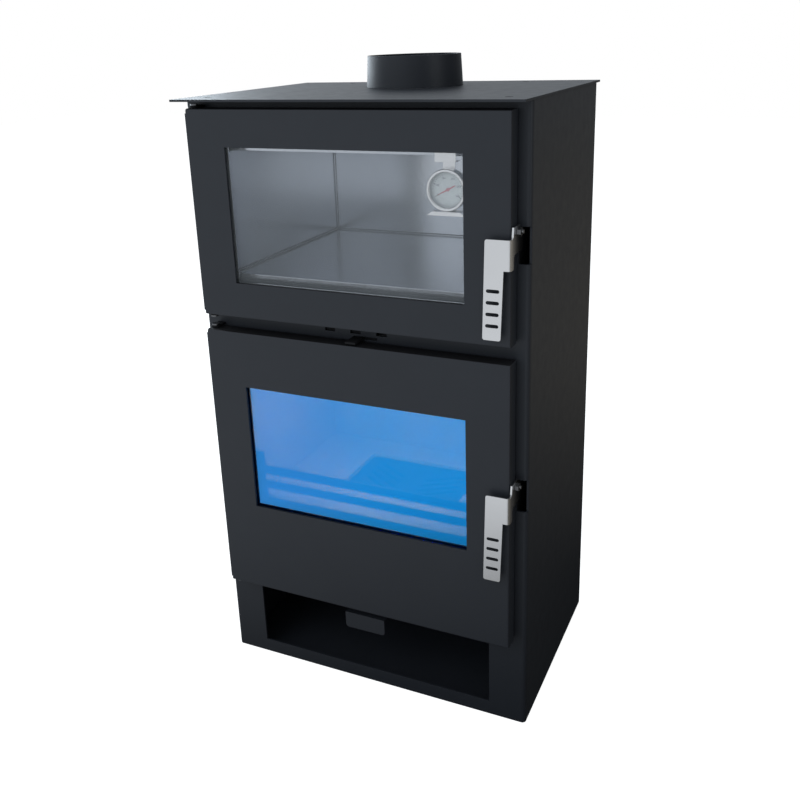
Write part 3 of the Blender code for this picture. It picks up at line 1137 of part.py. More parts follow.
def make_thermometer_coil(face, door_frame):
    """The flat two-metal spiral between the dial and the back of the case."""
    inside = []
    outside = []
    for step in range(COIL_TURNS * COIL_STEPS + 1):
        angle = math.tau * step / COIL_STEPS
        radius = COIL_INNER_RADIUS + COIL_PITCH * step / COIL_STEPS
        direction = (math.cos(angle), math.sin(angle))
        inside.append((face.x + radius * direction[0], face.z + radius * direction[1]))
        outside.append((face.x + (radius + COIL_STRIP) * direction[0],
                        face.z + (radius + COIL_STRIP) * direction[1]))
    outline = inside + outside[::-1]
    back = CASE_FRONT + COIL_BACK
    add_object("thermometer_coil", front_prism(outline, (back - COIL_HEIGHT, back)),
               material("thermometer_coil", (0.55, 0.45, 0.30), 0.4, metallic=1.0), door_frame)


def make_thermometer_hanger(door_frame):
    """The strip round the case: a foot below it, a neck behind it, a plate and a hook above it."""
    middle = THERMOMETER_CENTRE
    sheet = HANGER_THICKNESS
    plate_front = CASE_FRONT
    plate_back = plate_front + sheet
    neck_front = CASE_FRONT + CASE_DEPTH + FIT_GAP
    neck_back = neck_front + sheet
    hook_back = FRAME_FRONT - FIT_GAP
    hook_front = hook_back - sheet
    hook_low = GLASS_FRAME_TOP - HANGER_HOOK_DROP
    hook_top = GLASS_FRAME_TOP + FIT_GAP + sheet
    plate_low = OVEN_WINDOW_TOP - HANGER_PLATE_DROP
    foot_top = THERMOMETER_HEIGHT - CASE_RADIUS - FIT_GAP
    foot_low = foot_top - FOOT_HEIGHT
    strip = [(hook_front, hook_low), (hook_front, hook_top), (plate_back, hook_top),
             (plate_back, plate_low + sheet), (neck_back, plate_low + sheet), (neck_back, foot_top - sheet),
             (plate_back, foot_top - sheet), (plate_back, foot_low), (plate_front, foot_low),
             (plate_front, foot_top), (neck_front, foot_top), (neck_front, plate_low),
             (plate_front, plate_low), (plate_front, hook_top - sheet), (hook_back, hook_top - sheet),
             (hook_back, hook_low)]
    hanger = add_object("thermometer_hanger",
                        side_prism(strip, (middle - FOOT_HALF_WIDTH, middle + FOOT_HALF_WIDTH)),
                        stainless("thermometer_hanger"), door_frame)
    outline = []
    for side in (1, -1):
        half = [(middle + side * FOOT_HALF_WIDTH, foot_low - CUT_OVERRUN),
                (middle + side * FOOT_HALF_WIDTH, foot_low),
                (middle + side * FOOT_TOP_HALF_WIDTH, foot_top),
                (middle + side * HANGER_NECK_HALF_WIDTH, foot_top + sheet),
                (middle + side * HANGER_NECK_HALF_WIDTH, plate_low),
                (middle + side * HANGER_HALF_WIDTH, plate_low),
                (middle + side * HANGER_HALF_WIDTH, hook_top + CUT_OVERRUN)]
        outline += half[::side]
    carve(hanger, front_prism(outline, (hook_front - CUT_OVERRUN, neck_back + CUT_OVERRUN)), door_frame,
          "INTERSECT")


def make_door(door):
    frame = frame_empty(door.name + "_door_frame", hinge_axis_place(door.bottom))
    make_door_panel(door, frame)
    make_door_glazing(door, frame)
    make_door_seal(door, frame)
    make_handle(door, frame)
    make_handle_stud(door, frame)
    make_hinges(door)
    return frame


def main():
    clear_scene()
    make_front_panel()
    make_casing()
    make_firebox_floor()
    make_inner_body()
    make_top_plate()
    make_flue_collar()
    make_oven_liner()
    make_hearth_plate()
    make_firebox_lining()
    make_fire_grate()
    make_log_guard()
    make_ash_pan()
    make_air_box()
    make_primary_air_slide()
    make_air_wash_duct()
    make_secondary_air_slide()
    oven_frame = make_door(OVEN_DOOR)
    make_thermometer(oven_frame)
    make_door(FIREBOX_DOOR)


main()
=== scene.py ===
"""Looks of a wood stove with an oven: finishes, rounded edges, the dial's scale and a studio.

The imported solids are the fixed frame. Metres, +Z up, the doors face -Y.
"""
import json
import math

import bmesh
import bpy
from bpy.props import FloatProperty, FloatVectorProperty, IntProperty, PointerProperty
from mathutils import Matrix, Vector

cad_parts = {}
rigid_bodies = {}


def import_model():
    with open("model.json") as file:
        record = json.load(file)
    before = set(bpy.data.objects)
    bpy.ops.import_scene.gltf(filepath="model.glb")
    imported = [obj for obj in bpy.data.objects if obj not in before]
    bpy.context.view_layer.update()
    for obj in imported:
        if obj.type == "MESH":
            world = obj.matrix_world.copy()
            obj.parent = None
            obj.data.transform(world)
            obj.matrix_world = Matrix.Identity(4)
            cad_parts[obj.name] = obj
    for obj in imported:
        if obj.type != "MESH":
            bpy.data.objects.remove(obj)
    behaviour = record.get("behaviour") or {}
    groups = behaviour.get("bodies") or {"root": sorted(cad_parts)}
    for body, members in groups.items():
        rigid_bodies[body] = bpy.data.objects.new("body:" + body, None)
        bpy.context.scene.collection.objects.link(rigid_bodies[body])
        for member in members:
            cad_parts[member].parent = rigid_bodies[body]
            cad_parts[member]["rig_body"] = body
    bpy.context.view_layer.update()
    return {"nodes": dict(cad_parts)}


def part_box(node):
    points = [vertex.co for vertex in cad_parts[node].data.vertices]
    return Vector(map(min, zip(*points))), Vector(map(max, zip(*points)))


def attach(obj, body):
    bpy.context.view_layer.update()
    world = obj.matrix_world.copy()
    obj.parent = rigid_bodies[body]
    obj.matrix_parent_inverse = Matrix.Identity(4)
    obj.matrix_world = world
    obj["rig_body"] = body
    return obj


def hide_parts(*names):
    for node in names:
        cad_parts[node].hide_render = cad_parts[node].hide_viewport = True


bl_info = {
    "name": "Wood stove with oven",
    "version": (1, 0, 0),
    "blender": (4, 5, 0),
    "location": "3D View > Sidebar > Stove",
    "description": "Dresses the stove's solids with finishes, rounded edges and fine detail",
    "category": "Object",
}

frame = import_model()
DOORS = ("oven", "firebox")
SHARP = math.radians(35)    # an edge this sharp is rounded, and parts the shading
FLAT = math.radians(1)      # cuts in a flat face bend less than this
LEVEL = 0.9                 # a face whose normal rises or falls this much looks up or down
MERGE = 0.000001
FINE_MERGE = 0.000002

# The dial: where its scale starts and how far it runs, the marks on it and what they stand for
DIAL_START = math.radians(208)
DIAL_SWEEP = math.radians(240)
DIAL_STEPS = 25
LONG_EVERY = 5
SHORT_MARK = 0.6
FIRST_NUMBER = 50
DEGREES_A_STEP = 10

# Finish: name, roughness, stretch of the brush lines, their depth, clouds in the colour, change of sheen
BRUSHED = {
    "stainless": ("satin_stainless", 0.24, (40, 40, 2600), 0.000002, 0.05, 0.03),
    "liner": ("liner_stainless", 0.20, (5, 300, 300), 0.0000002, 0.03, 0.008),
    "plated": ("plated_steel", 0.28, (900, 900, 900), 0.000004, 0.05, 0.03),
}
ENAMELS = {"dial": ("dial_enamel", 0.5), "ink": ("printed_ink", 0.6), "needle": ("red_enamel", 0.35)}
CLEAR = {"clear": ("clear_glass", 0.07), "lens": ("dial_lens", 0.10)}

# Light: place, what it looks at, size, tint, and whether it mirrors in the stove
LIGHTS = {
    "left_light": ((-1.9, 0.9, 1.15), (0, 0.1, 0.9), 1.8, (0.80, 0.91, 1.0), True),
    "right_light": ((2.0, -0.5, 1.0), (0, 0, 0.75), 0.8, (0.92, 0.97, 1.0), True),
    "front_light": ((-1.0, -2.6, 1.9), (0, 0, 0.6), 2.0, (0.88, 0.94, 1.0), False),
    "firebox_light": ((0, -0.120, 0.545), (0, 0.05, 0.30), 0.16, (1.0, 0.92, 0.82), True),
}
FLOOR_DROP = 0.0002
FLOOR_AHEAD = (-0.42, -0.90, 0)     # the way in which the floor grows bright
SIDE_REACH = (0.4, 1.5)             # distances over which it does, all round and ahead
AHEAD_REACH = (0.15, 0.8)
TINT_REACH = (0.0, 0.5)
ROOM_SIDE = (-0.80, -0.15, 0.58)    # the bright side of the room
ROOM_REACH = (-0.5, 0.45)

CAMERA_PLACE = (0.5659, -1.2256, 0.9752)
CAMERA_TURN = (25.264, 18.041, -1.976)      # yaw, pitch and roll in degrees
CAMERA_SHIFT = (0.003375, -0.089)
CAMERA_CLIP = (0.05, 60.0)
SENSOR_WIDTH = 36.0


class StoveSizes(bpy.types.PropertyGroup):
    """Small sizes that the solids leave to the looks."""

    sheet_edge: FloatProperty(name="Sheet edge", description="Rounding of a cut sheet's edges",
                              default=0.0004, unit="LENGTH", precision=5)
    plate_edge: FloatProperty(name="Top plate edge", description="Rounding of the top plate's edges",
                              default=0.0007, unit="LENGTH", precision=5)
    handle_edge: FloatProperty(name="Handle edge", description="Rounding of the handles' edges",
                               default=0.0004, unit="LENGTH", precision=5)
    board_edge: FloatProperty(name="Board edge", description="Rounding of the fire boards' edges",
                              default=0.0015, unit="LENGTH", precision=5)
    casting_edge: FloatProperty(name="Casting edge", description="Rounding of cast edges",
                                default=0.0006, unit="LENGTH", precision=5)
    glass_edge: FloatProperty(name="Glass edge", description="Ground edge of the panes",
                              default=0.0006, unit="LENGTH", precision=5)
    edge_steps: IntProperty(name="Edge steps", description="Faces across a rounded edge", default=2)
    tray_sheet: FloatProperty(name="Tray sheet", description="Sheet of the door trays",
                              default=0.003, unit="LENGTH", precision=5)
    play: FloatProperty(name="Play", description="Gap between touching pieces",
                        default=0.0003, unit="LENGTH", precision=5)
    stud_radius: FloatProperty(name="Stud radius", description="Radius of the handle studs",
                               default=0.003, unit="LENGTH", precision=5)
    shoulder_radius: FloatProperty(name="Shoulder radius", description="Radius of the studs' shoulder",
                                   default=0.005, unit="LENGTH", precision=5)
    shoulder_end: FloatProperty(name="Shoulder end", description="How far the shoulder stands off the door",
                                default=0.001, unit="LENGTH", precision=5)
    thread_pitch: FloatProperty(name="Thread pitch", description="Pitch of the handle studs' thread",
                                default=0.0008, unit="LENGTH", precision=5)
    thread_depth: FloatProperty(name="Thread depth", description="Depth of the handle studs' thread",
                                default=0.0004, unit="LENGTH", precision=5)
    mark_radius: FloatProperty(name="Scale radius", description="Outer radius of the dial's scale",
                               default=0.0205, unit="LENGTH", precision=5)
    mark_length: FloatProperty(name="Mark length", description="Length of a long mark",
                               default=0.0030, unit="LENGTH", precision=5)
    mark_width: FloatProperty(name="Mark width", description="Width of a long mark",
                              default=0.0005, unit="LENGTH", precision=5)
    number_height: FloatProperty(name="Number height", description="Height of the dial's numbers",
                                 default=0.0036, unit="LENGTH", precision=5)
    number_radius: FloatProperty(name="Number radius", description="Radius of the ring of numbers",
                                 default=0.0150, unit="LENGTH", precision=5)
    liner_wall: FloatProperty(name="Liner wall", description="Sheet of the oven's box",
                              default=0.002, unit="LENGTH", precision=5)
    liner_flange: FloatProperty(name="Liner flange", description="From the flange's rim to the oven's inside",
                                default=0.009, unit="LENGTH", precision=5)
    seam_width: FloatProperty(name="Seam width", description="Width of the oven's weld beads",
                              default=0.0020, unit="LENGTH", precision=5)
    seam_setback: FloatProperty(name="Seam setback", description="Where the beads start behind the flange",
                                default=0.004, unit="LENGTH", precision=5)
    ink_thickness: FloatProperty(name="Ink thickness", description="How far printed marks stand up",
                                 default=0.00008, unit="LENGTH", precision=6)


def colour(name, description, default):
    return FloatVectorProperty(name=name, description=description, subtype="COLOR", size=3,
                               min=0, max=1, default=default)


class StoveColours(bpy.types.PropertyGroup):
    """Base colours of the finishes."""

    paint: colour("Paint", "Matte heat-resistant paint", (0.021, 0.024, 0.030))
    black: colour("Black steel", "Blackened sheet inside the stove", (0.006, 0.006, 0.007))
    stainless: colour("Stainless", "Satin stainless steel", (0.74, 0.73, 0.73))
    liner: colour("Oven liner", "Stainless sheet of the oven", (0.56, 0.58, 0.62))
    plated: colour("Plated steel", "Nuts and studs", (0.16, 0.16, 0.165))
    board: colour("Fire board", "Pressed refractory board", (0.52, 0.40, 0.26))
    iron: colour("Cast iron", "Grate and guard", (0.030, 0.030, 0.032))
    fibre: colour("Glass fibre", "Ropes and tapes", (0.09, 0.09, 0.09))
    # Painted reflection: the two coat colours are the ends of a lilac-to-azure change across the firebox
    # glass.
    coat_left: colour("Glass coat, left", "Blue coat of the firebox glass", (0.05, 0.36, 0.93))
    coat_right: colour("Glass coat, right", "Blue coat of the firebox glass", (0.015, 0.40, 0.98))
    dial: colour("Dial", "Enamel of the dial", (0.72, 0.75, 0.74))
    ink: colour("Ink", "Printed marks", (0.03, 0.03, 0.035))
    needle: colour("Needle", "Red enamel", (0.55, 0.03, 0.05))
    coil: colour("Coil", "Two-metal strip", (0.50, 0.38, 0.22))
    heat_tint: colour("Heat tint", "Tint of the coil where it was hot", (0.30, 0.32, 0.42))
    clear: colour("Clear glass", "Tint of the clear panes", (0.80, 0.86, 0.90))


class StoveStage(bpy.types.PropertyGroup):
    """Floor, light and camera."""

    floor_half: FloatProperty(name="Floor half width", description="Half the floor's width",
                              default=9.0, unit="LENGTH")
    front_world: FloatProperty(name="Bright side", description="Brightness of the room in front and left",
                               default=0.85)
    right_world: FloatProperty(name="Dark side", description="Brightness of the room at right",
                               default=0.10)
    near_floor: FloatProperty(name="Near floor", description="Brightness of the floor beside the stove",
                              default=0.02)
    far_floor: FloatProperty(name="Far floor", description="Brightness of the floor away from the stove",
                             default=0.80)
    side_floor: FloatProperty(name="Side floor", description="Brightness of the floor right and behind",
                              default=0.20)
    left_light: FloatProperty(name="Left light", description="Power of the soft light at the left",
                              default=42.0)
    right_light: FloatProperty(name="Right light", description="Power of the narrow light at the right",
                               default=4.0)
    front_light: FloatProperty(name="Front light", description="Power of the soft light in front",
                               default=14.0)
    firebox_light: FloatProperty(name="Firebox light", description="Power of the soft light in the firebox",
                                 default=3.4)
    seen_floor: FloatProperty(name="Seen floor", description="Brightness of the floor for the camera",
                              default=0.90)
    # The floor's tints colour its painted glow.
    warm_floor: colour("Warm floor", "The floor's tint behind and beside the stove", (1.0, 0.94, 0.82))
    cool_floor: colour("Cool floor", "The floor's tint in front of the stove", (0.90, 0.95, 1.0))
    floor_cloth: colour("Floor", "What the floor scatters of the light", (0.4, 0.4, 0.4))
    room: colour("Room", "Tint of the room's light", (0.88, 0.94, 1.0))
    lens: FloatProperty(name="Lens", description="Focal length in millimetres", default=41.028)


def sizes():
    return bpy.context.scene.stove_sizes


def colours():
    return bpy.context.scene.stove_colours


# Materials


def new_finish(name, base, roughness, metallic=0.0):
    """A material with its own shader, whose constant values are set on the shader's sockets."""
    made = bpy.data.materials.new(name)
    made.use_nodes = True
    shader = made.node_tree.nodes["Principled BSDF"]
    shader.inputs["Base Color"].default_value = (*base, 1.0)
    shader.inputs["Roughness"].default_value = roughness
    shader.inputs["Metallic"].default_value = metallic
    return made, made.node_tree, shader


def pattern(tree, kind, scale, stretch=(1, 1, 1), turn=(0, 0, 0), **values):
    """A texture node on the piece's own place in metres."""
    place = tree.nodes.new("ShaderNodeTexCoord")
    mapping = tree.nodes.new("ShaderNodeMapping")
    mapping.inputs["Scale"].default_value = stretch
    mapping.inputs["Rotation"].default_value = turn
    texture = tree.nodes.new(kind)
    tree.links.new(place.outputs["Object"], mapping.inputs["Vector"])
    tree.links.new(mapping.outputs["Vector"], texture.inputs["Vector"])
    texture.inputs["Scale"].default_value = scale
    for name, value in values.items():
        texture.inputs[name.replace("_", " ")].default_value = value
    return texture


def spread(tree, source, low, high, from_low=0.3, from_high=0.7):
    """Carry a texture's values to a range of roughness or height."""
    node = tree.nodes.new("ShaderNodeMapRange")
    for name, value in (("From Min", from_low), ("From Max", from_high), ("To Min", low), ("To Max", high)):
        node.inputs[name].default_value = value
    tree.links.new(source, node.inputs["Value"])
    return node.outputs["Result"]


def blend_colours(tree, share, first, second):
    """Mix two colours by a texture."""
    node = tree.nodes.new("ShaderNodeMix")
    node.data_type = "RGBA"
    node.inputs["A"].default_value = (*first, 1.0)
    node.inputs["B"].default_value = (*second, 1.0)
    tree.links.new(share, node.inputs["Factor"])
    return node.outputs["Result"]


def emboss(tree, shader, height, distance, strength=1.0):
    node = tree.nodes.new("ShaderNodeBump")
    node.inputs["Distance"].default_value = distance
    node.inputs["Strength"].default_value = strength
    tree.links.new(height, node.inputs["Height"])
    tree.links.new(node.outputs["Normal"], shader.inputs["Normal"])


def shade(base, factor):
    return tuple(min(1.0, part * factor) for part in base)


def paint_finish():
    """Matte heat-resistant paint: fine sprayed grain, faint clouds in its colour and sheen."""
    base = colours().paint
    made, tree, shader = new_finish("charcoal_paint", base, 0.5)
    clouds = pattern(tree, "ShaderNodeTexNoise", 14.0, Detail=4.0)
    tree.links.new(blend_colours(tree, clouds.outputs["Fac"], shade(base, 0.94), shade(base, 1.07)),
                   shader.inputs["Base Color"])
    sheen = pattern(tree, "ShaderNodeTexNoise", 60.0, Detail=5.0)
    tree.links.new(spread(tree, sheen.outputs["Fac"], 0.43, 0.48), shader.inputs["Roughness"])
    grain = pattern(tree, "ShaderNodeTexNoise", 1500.0, Detail=2.0)
    emboss(tree, shader, grain.outputs["Fac"], 0.00002, 0.3)
    shader.inputs["Specular IOR Level"].default_value = 0.32
    return made


def black_finish():
    """Blackened sheet with a dusting of soot."""
    base = colours().black
    made, tree, shader = new_finish("black_steel", base, 0.7)
    soot = pattern(tree, "ShaderNodeTexNoise", 40.0, Detail=6.0, Roughness=0.65)
    tree.links.new(blend_colours(tree, soot.outputs["Fac"], shade(base, 0.7), shade(base, 1.8)),
                   shader.inputs["Base Color"])
    grain = pattern(tree, "ShaderNodeTexNoise", 900.0, Detail=3.0)
    emboss(tree, shader, grain.outputs["Fac"], 0.00006, 0.6)
    shader.inputs["Specular IOR Level"].default_value = 0.20
    return made


def brushed_finish(key):
    """Steel with fine parallel brush lines."""
    name, roughness, stretch, depth, clouds, change = BRUSHED[key]
    base = getattr(colours(), key)
    made, tree, shader = new_finish(name, base, roughness, 1.0)
    lines = pattern(tree, "ShaderNodeTexNoise", 1.0, stretch, Detail=3.0)
    tree.links.new(spread(tree, lines.outputs["Fac"], roughness - change, roughness + change),
                   shader.inputs["Roughness"])
    tint = pattern(tree, "ShaderNodeTexNoise", 18.0, Detail=3.0)
    tree.links.new(blend_colours(tree, tint.outputs["Fac"], shade(base, 1 - clouds), shade(base, 1 + clouds)),
                   shader.inputs["Base Color"])
    emboss(tree, shader, lines.outputs["Fac"], depth, 0.6)
    return made


def board_finish():
    """Pressed refractory board: pale flakes in a sandy ground, with small pits."""
    base = colours().board
    made, tree, shader = new_finish("fire_board", base, 0.92)
    flakes = pattern(tree, "ShaderNodeTexVoronoi", 420.0)
    tree.links.new(blend_colours(tree, spread(tree, flakes.outputs["Distance"], 0.0, 1.0, 0.1, 0.6),
                                 shade(base, 1.35), shade(base, 0.72)), shader.inputs["Base Color"])
    pits = pattern(tree, "ShaderNodeTexNoise", 260.0, Detail=5.0)
    emboss(tree, shader, pits.outputs["Fac"], 0.0006, 0.7)
    return made


def iron_finish():
    """Raw casting with a sand-cast skin."""
    base = colours().iron
    made, tree, shader = new_finish("cast_iron", base, 0.62, 0.35)
    skin = pattern(tree, "ShaderNodeTexNoise", 520.0, Detail=6.0, Roughness=0.6)
    tree.links.new(blend_colours(tree, skin.outputs["Fac"], shade(base, 0.75), shade(base, 1.5)),
                   shader.inputs["Base Color"])
    emboss(tree, shader, skin.outputs["Fac"], 0.0003, 0.8)
    return made


def fibre_finish():
    """Knitted glass fibre: crossing diagonal strands."""
    base = colours().fibre
    made, tree, shader = new_finish("glass_fibre", base, 0.95)
    first = pattern(tree, "ShaderNodeTexWave", 160.0, (1, 1, 1), (0, math.radians(45), 0), Distortion=1.5)
    second = pattern(tree, "ShaderNodeTexWave", 160.0, (1, 1, 1), (0, math.radians(-45), 0), Distortion=1.5)
    crossed = tree.nodes.new("ShaderNodeMath")
    crossed.operation = "MAXIMUM"
    tree.links.new(first.outputs["Fac"], crossed.inputs[0])
    tree.links.new(second.outputs["Fac"], crossed.inputs[1])
    tree.links.new(blend_colours(tree, crossed.outputs["Value"], shade(base, 0.45), shade(base, 1.5)),
                   shader.inputs["Base Color"])
    emboss(tree, shader, crossed.outputs["Value"], 0.0006, 0.9)
    shader.inputs["Sheen Weight"].default_value = 0.3
    return made


def clear_glass_finish(key):
    """Clear heat-resistant glass with a trace of haze."""
    name, alpha = CLEAR[key]
    made, tree, shader = new_finish(name, colours().clear, 0.03)
    haze = pattern(tree, "ShaderNodeTexNoise", 7.0, Detail=2.0)
    tree.links.new(spread(tree, haze.outputs["Fac"], alpha * 0.8, alpha * 1.2), shader.inputs["Alpha"])
    return made


def coated_glass_finish():
    """Glass ceramic whose coat mirrors blue, with a painted reflection: soft upright bands that run from
    lilac at the left to azure at the right.
    """
    shades = colours()
    made, tree, shader = new_finish("blue_coated_glass", shades.coat_right, 0.06, 1.0)
    place = tree.nodes.new("ShaderNodeTexCoord")
    parts = tree.nodes.new("ShaderNodeSeparateXYZ")
    tree.links.new(place.outputs["Object"], parts.inputs["Vector"])
    # Painted reflection: upright bands and a change from left to right, set by the pane's own place.
    painted_reflection_streaks = pattern(tree, "ShaderNodeTexNoise", 1.0, (17.0, 17.0, 1.6), Detail=2.0)
    across = spread(tree, parts.outputs["X"], 0.0, 1.0, -0.15, 0.08)
    painted_reflection_share = tree.nodes.new("ShaderNodeMath")
    painted_reflection_share.operation = "MULTIPLY_ADD"
    painted_reflection_share.inputs[1].default_value = 0.5
    tree.links.new(painted_reflection_streaks.outputs["Fac"], painted_reflection_share.inputs[0])
    tree.links.new(spread(tree, across, -0.25, 0.75, 0.0, 1.0), painted_reflection_share.inputs[2])
    tree.links.new(blend_colours(tree, painted_reflection_share.outputs["Value"], shades.coat_left, shades.coat_right),
                   shader.inputs["Base Color"])
    shader.inputs["Alpha"].default_value = 0.72
    return made


def enamel_finish(key):
    """Baked enamel with a faint orange-peel skin."""
    name, roughness = ENAMELS[key]
    base = getattr(colours(), key)
    made, tree, shader = new_finish(name, base, roughness)
    peel = pattern(tree, "ShaderNodeTexNoise", 700.0, Detail=2.0)
    emboss(tree, shader, peel.outputs["Fac"], 0.00002, 0.4)
    tint = pattern(tree, "ShaderNodeTexNoise", 90.0, Detail=2.0)
    tree.links.new(blend_colours(tree, tint.outputs["Fac"], shade(base, 0.95), shade(base, 1.05)),
                   shader.inputs["Base Color"])
    return made


def coil_finish():
    """Two-metal strip with a heat tint that runs from straw to blue."""
    base = colours().coil
    made, tree, shader = new_finish("coil_metal", base, 0.35, 1.0)
    tint = pattern(tree, "ShaderNodeTexNoise", 120.0, Detail=2.0)
    tree.links.new(blend_colours(tree, tint.outputs["Fac"], base, colours().heat_tint),
                   shader.inputs["Base Color"])
    return made


FINISH_MAKERS = {
    "paint": paint_finish,
    "black": black_finish,
    "board": board_finish,
    "iron": iron_finish,
    "fibre": fibre_finish,
    "coated": coated_glass_finish,
    "coil": coil_finish,
}
KEYED_MAKERS = ((BRUSHED, brushed_finish), (ENAMELS, enamel_finish), (CLEAR, clear_glass_finish))
MADE_FINISHES = {}


def finish(key):
    """The finish of that name, made once."""
    if key not in MADE_FINISHES:
        makers = [maker for table, maker in KEYED_MAKERS if key in table]
        MADE_FINISHES[key] = makers[0](key) if makers else FINISH_MAKERS[key]()
    return MADE_FINISHES[key]


# Pieces


def blacken(piece, in_painted_shade):
    """Give the faces that a test picks the black finish as painted shade, as a second material."""
    piece.data.materials.append(finish("black"))
    for face in piece.data.polygons:
        if in_painted_shade(face):
            face.material_index = len(piece.data.materials) - 1


def dress(node, key):
    """Give a solid of the frame a better material in its own slots."""
    item = frame["nodes"][node]
    if not item.material_slots:
        item.data.materials.append(finish(key))
    for place in item.material_slots:
        place.material = finish(key)


def settle(bm, name, key, node=None, body=None, smooth=True):
    """Make a piece of a mesh that is already in place, and let it ride on its body."""
    mesh = bpy.data.meshes.new(name)
    bm.to_mesh(mesh)
    bm.free()
    mesh.materials.append(finish(key))
    piece = bpy.data.objects.new(name, mesh)
    bpy.context.scene.collection.objects.link(piece)
    if smooth:
        mesh.shade_smooth()
        mesh.set_sharp_from_angle(angle=SHARP)
        even = piece.modifiers.new("even_shading", "WEIGHTED_NORMAL")
        even.keep_sharp = True
    if node is not None:
        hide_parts(node)
        body = frame["nodes"][node]["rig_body"]
    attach(piece, body)
    return piece


def solid_copy(node):
    """A merged copy of a solid's mesh, with the cuts in its flat faces dissolved."""
    bm = bmesh.new()
    bm.from_mesh(frame["nodes"][node].data)
    bmesh.ops.remove_doubles(bm, verts=bm.verts, dist=MERGE)
    bmesh.ops.dissolve_limit(bm, angle_limit=FLAT, verts=bm.verts, edges=bm.edges)
    bmesh.ops.recalc_face_normals(bm, faces=bm.faces)
    return bm


def soften(node, name, key, width):
    """A piece that stands for a solid, with its sharp edges rounded."""
    bm = solid_copy(node)
    edges = [edge for edge in bm.edges if edge.is_manifold and edge.calc_face_angle(0.0) > SHARP]
    bmesh.ops.bevel(bm, geom=edges, offset=width, offset_type="OFFSET", segments=sizes().edge_steps,
                    profile=0.5, affect="EDGES", clamp_overlap=True, material=-1)
    return settle(bm, name, key, node)


def spin_profile(profile, centre, axis, steps=32):
    """Turn a profile of radius and distance along an axis into a closed round mesh."""
    bm = bmesh.new()
    turn = Vector((0, 0, 1)).rotation_difference(Vector(axis))
    verts = [bm.verts.new(Vector(centre) + turn @ Vector((radius, 0, along))) for radius, along in profile]
    edges = [bm.edges.new(pair) for pair in zip(verts, verts[1:])]
    bmesh.ops.spin(bm, geom=verts + edges, cent=centre, axis=axis, angle=math.tau, steps=steps,
                   use_merge=True)
    bmesh.ops.remove_doubles(bm, verts=bm.verts, dist=FINE_MERGE)
    bmesh.ops.recalc_face_normals(bm, faces=bm.faces)
    return bm


class STOVE_OT_casing(bpy.types.Operator):
    """Painted sheets of the casing, with rounded cut edges"""

    bl_idname = "stove.casing"
    bl_label = "Casing"
    bl_options = {"REGISTER", "UNDO"}

    def execute(self, context):
        for node, name in (("front_panel", "front_sheet"), ("left_side_panel", "left_side_sheet"),
                           ("right_side_panel", "right_side_sheet"), ("back_panel", "back_sheet"),
                           ("base_panel", "base_sheet")):
            soften(node, name, "paint", sizes().sheet_edge)
        return {"FINISHED"}


class STOVE_OT_top(bpy.types.Operator):
    """Hot plate, its screws and the flue collar"""

    bl_idname = "stove.top"
    bl_label = "Top plate and collar"
    bl_options = {"REGISTER", "UNDO"}

    def execute(self, context):
        soften("top_plate", "hot_plate", "paint", sizes().plate_edge)
        soften("flue_collar", "flue_spigot", "paint", sizes().sheet_edge)
        for index in range(1, 5):
            dress("top_plate_screw_" + str(index), "black")
        return {"FINISHED"}


class STOVE_OT_doors(bpy.types.Operator):
    """Painted door trays and their hinges, the trays' top and bottom faces black as painted shade"""

    bl_idname = "stove.doors"
    bl_label = "Door trays and hinges"
    bl_options = {"REGISTER", "UNDO"}

    def execute(self, context):
        for door in DOORS:
            tray = soften(door + "_door_panel", door + "_door_tray", "paint", sizes().sheet_edge)
            # Painted shade: the trays' level top and bottom faces get the black finish, which darkens the gap
            # between the doors.
            blacken(tray, lambda face: abs(face.normal.z) > LEVEL)
            for end in ("top", "bottom"):
                soften(door + "_hinge_tongue_" + end, door + "_hinge_ear_" + end, "black",
                       sizes().sheet_edge)
                dress(door + "_hinge_pin_" + end, "plated")
        return {"FINISHED"}


class STOVE_OT_glazing(bpy.types.Operator):
    """Panes, tapes and clamping frames of both windows"""

    bl_idname = "stove.glazing"
    bl_label = "Glazing"
    bl_options = {"REGISTER", "UNDO"}

    def execute(self, context):
        soften("oven_glass", "oven_pane", "clear", sizes().glass_edge)
        soften("firebox_glass", "firebox_pane", "coated", sizes().glass_edge)
        for door in DOORS:
            dress(door + "_glass_tape", "fibre")
            dress(door + "_glass_frame", "stainless")
        return {"FINISHED"}


class STOVE_OT_seals(bpy.types.Operator):
    """Gasket channels and rope gaskets behind the doors"""

    bl_idname = "stove.seals"
    bl_label = "Door seals"
    bl_options = {"REGISTER", "UNDO"}

    def execute(self, context):
        for door in DOORS:
            dress(door + "_gasket_channel", "black")
            dress(door + "_rope_gasket", "fibre")
        return {"FINISHED"}


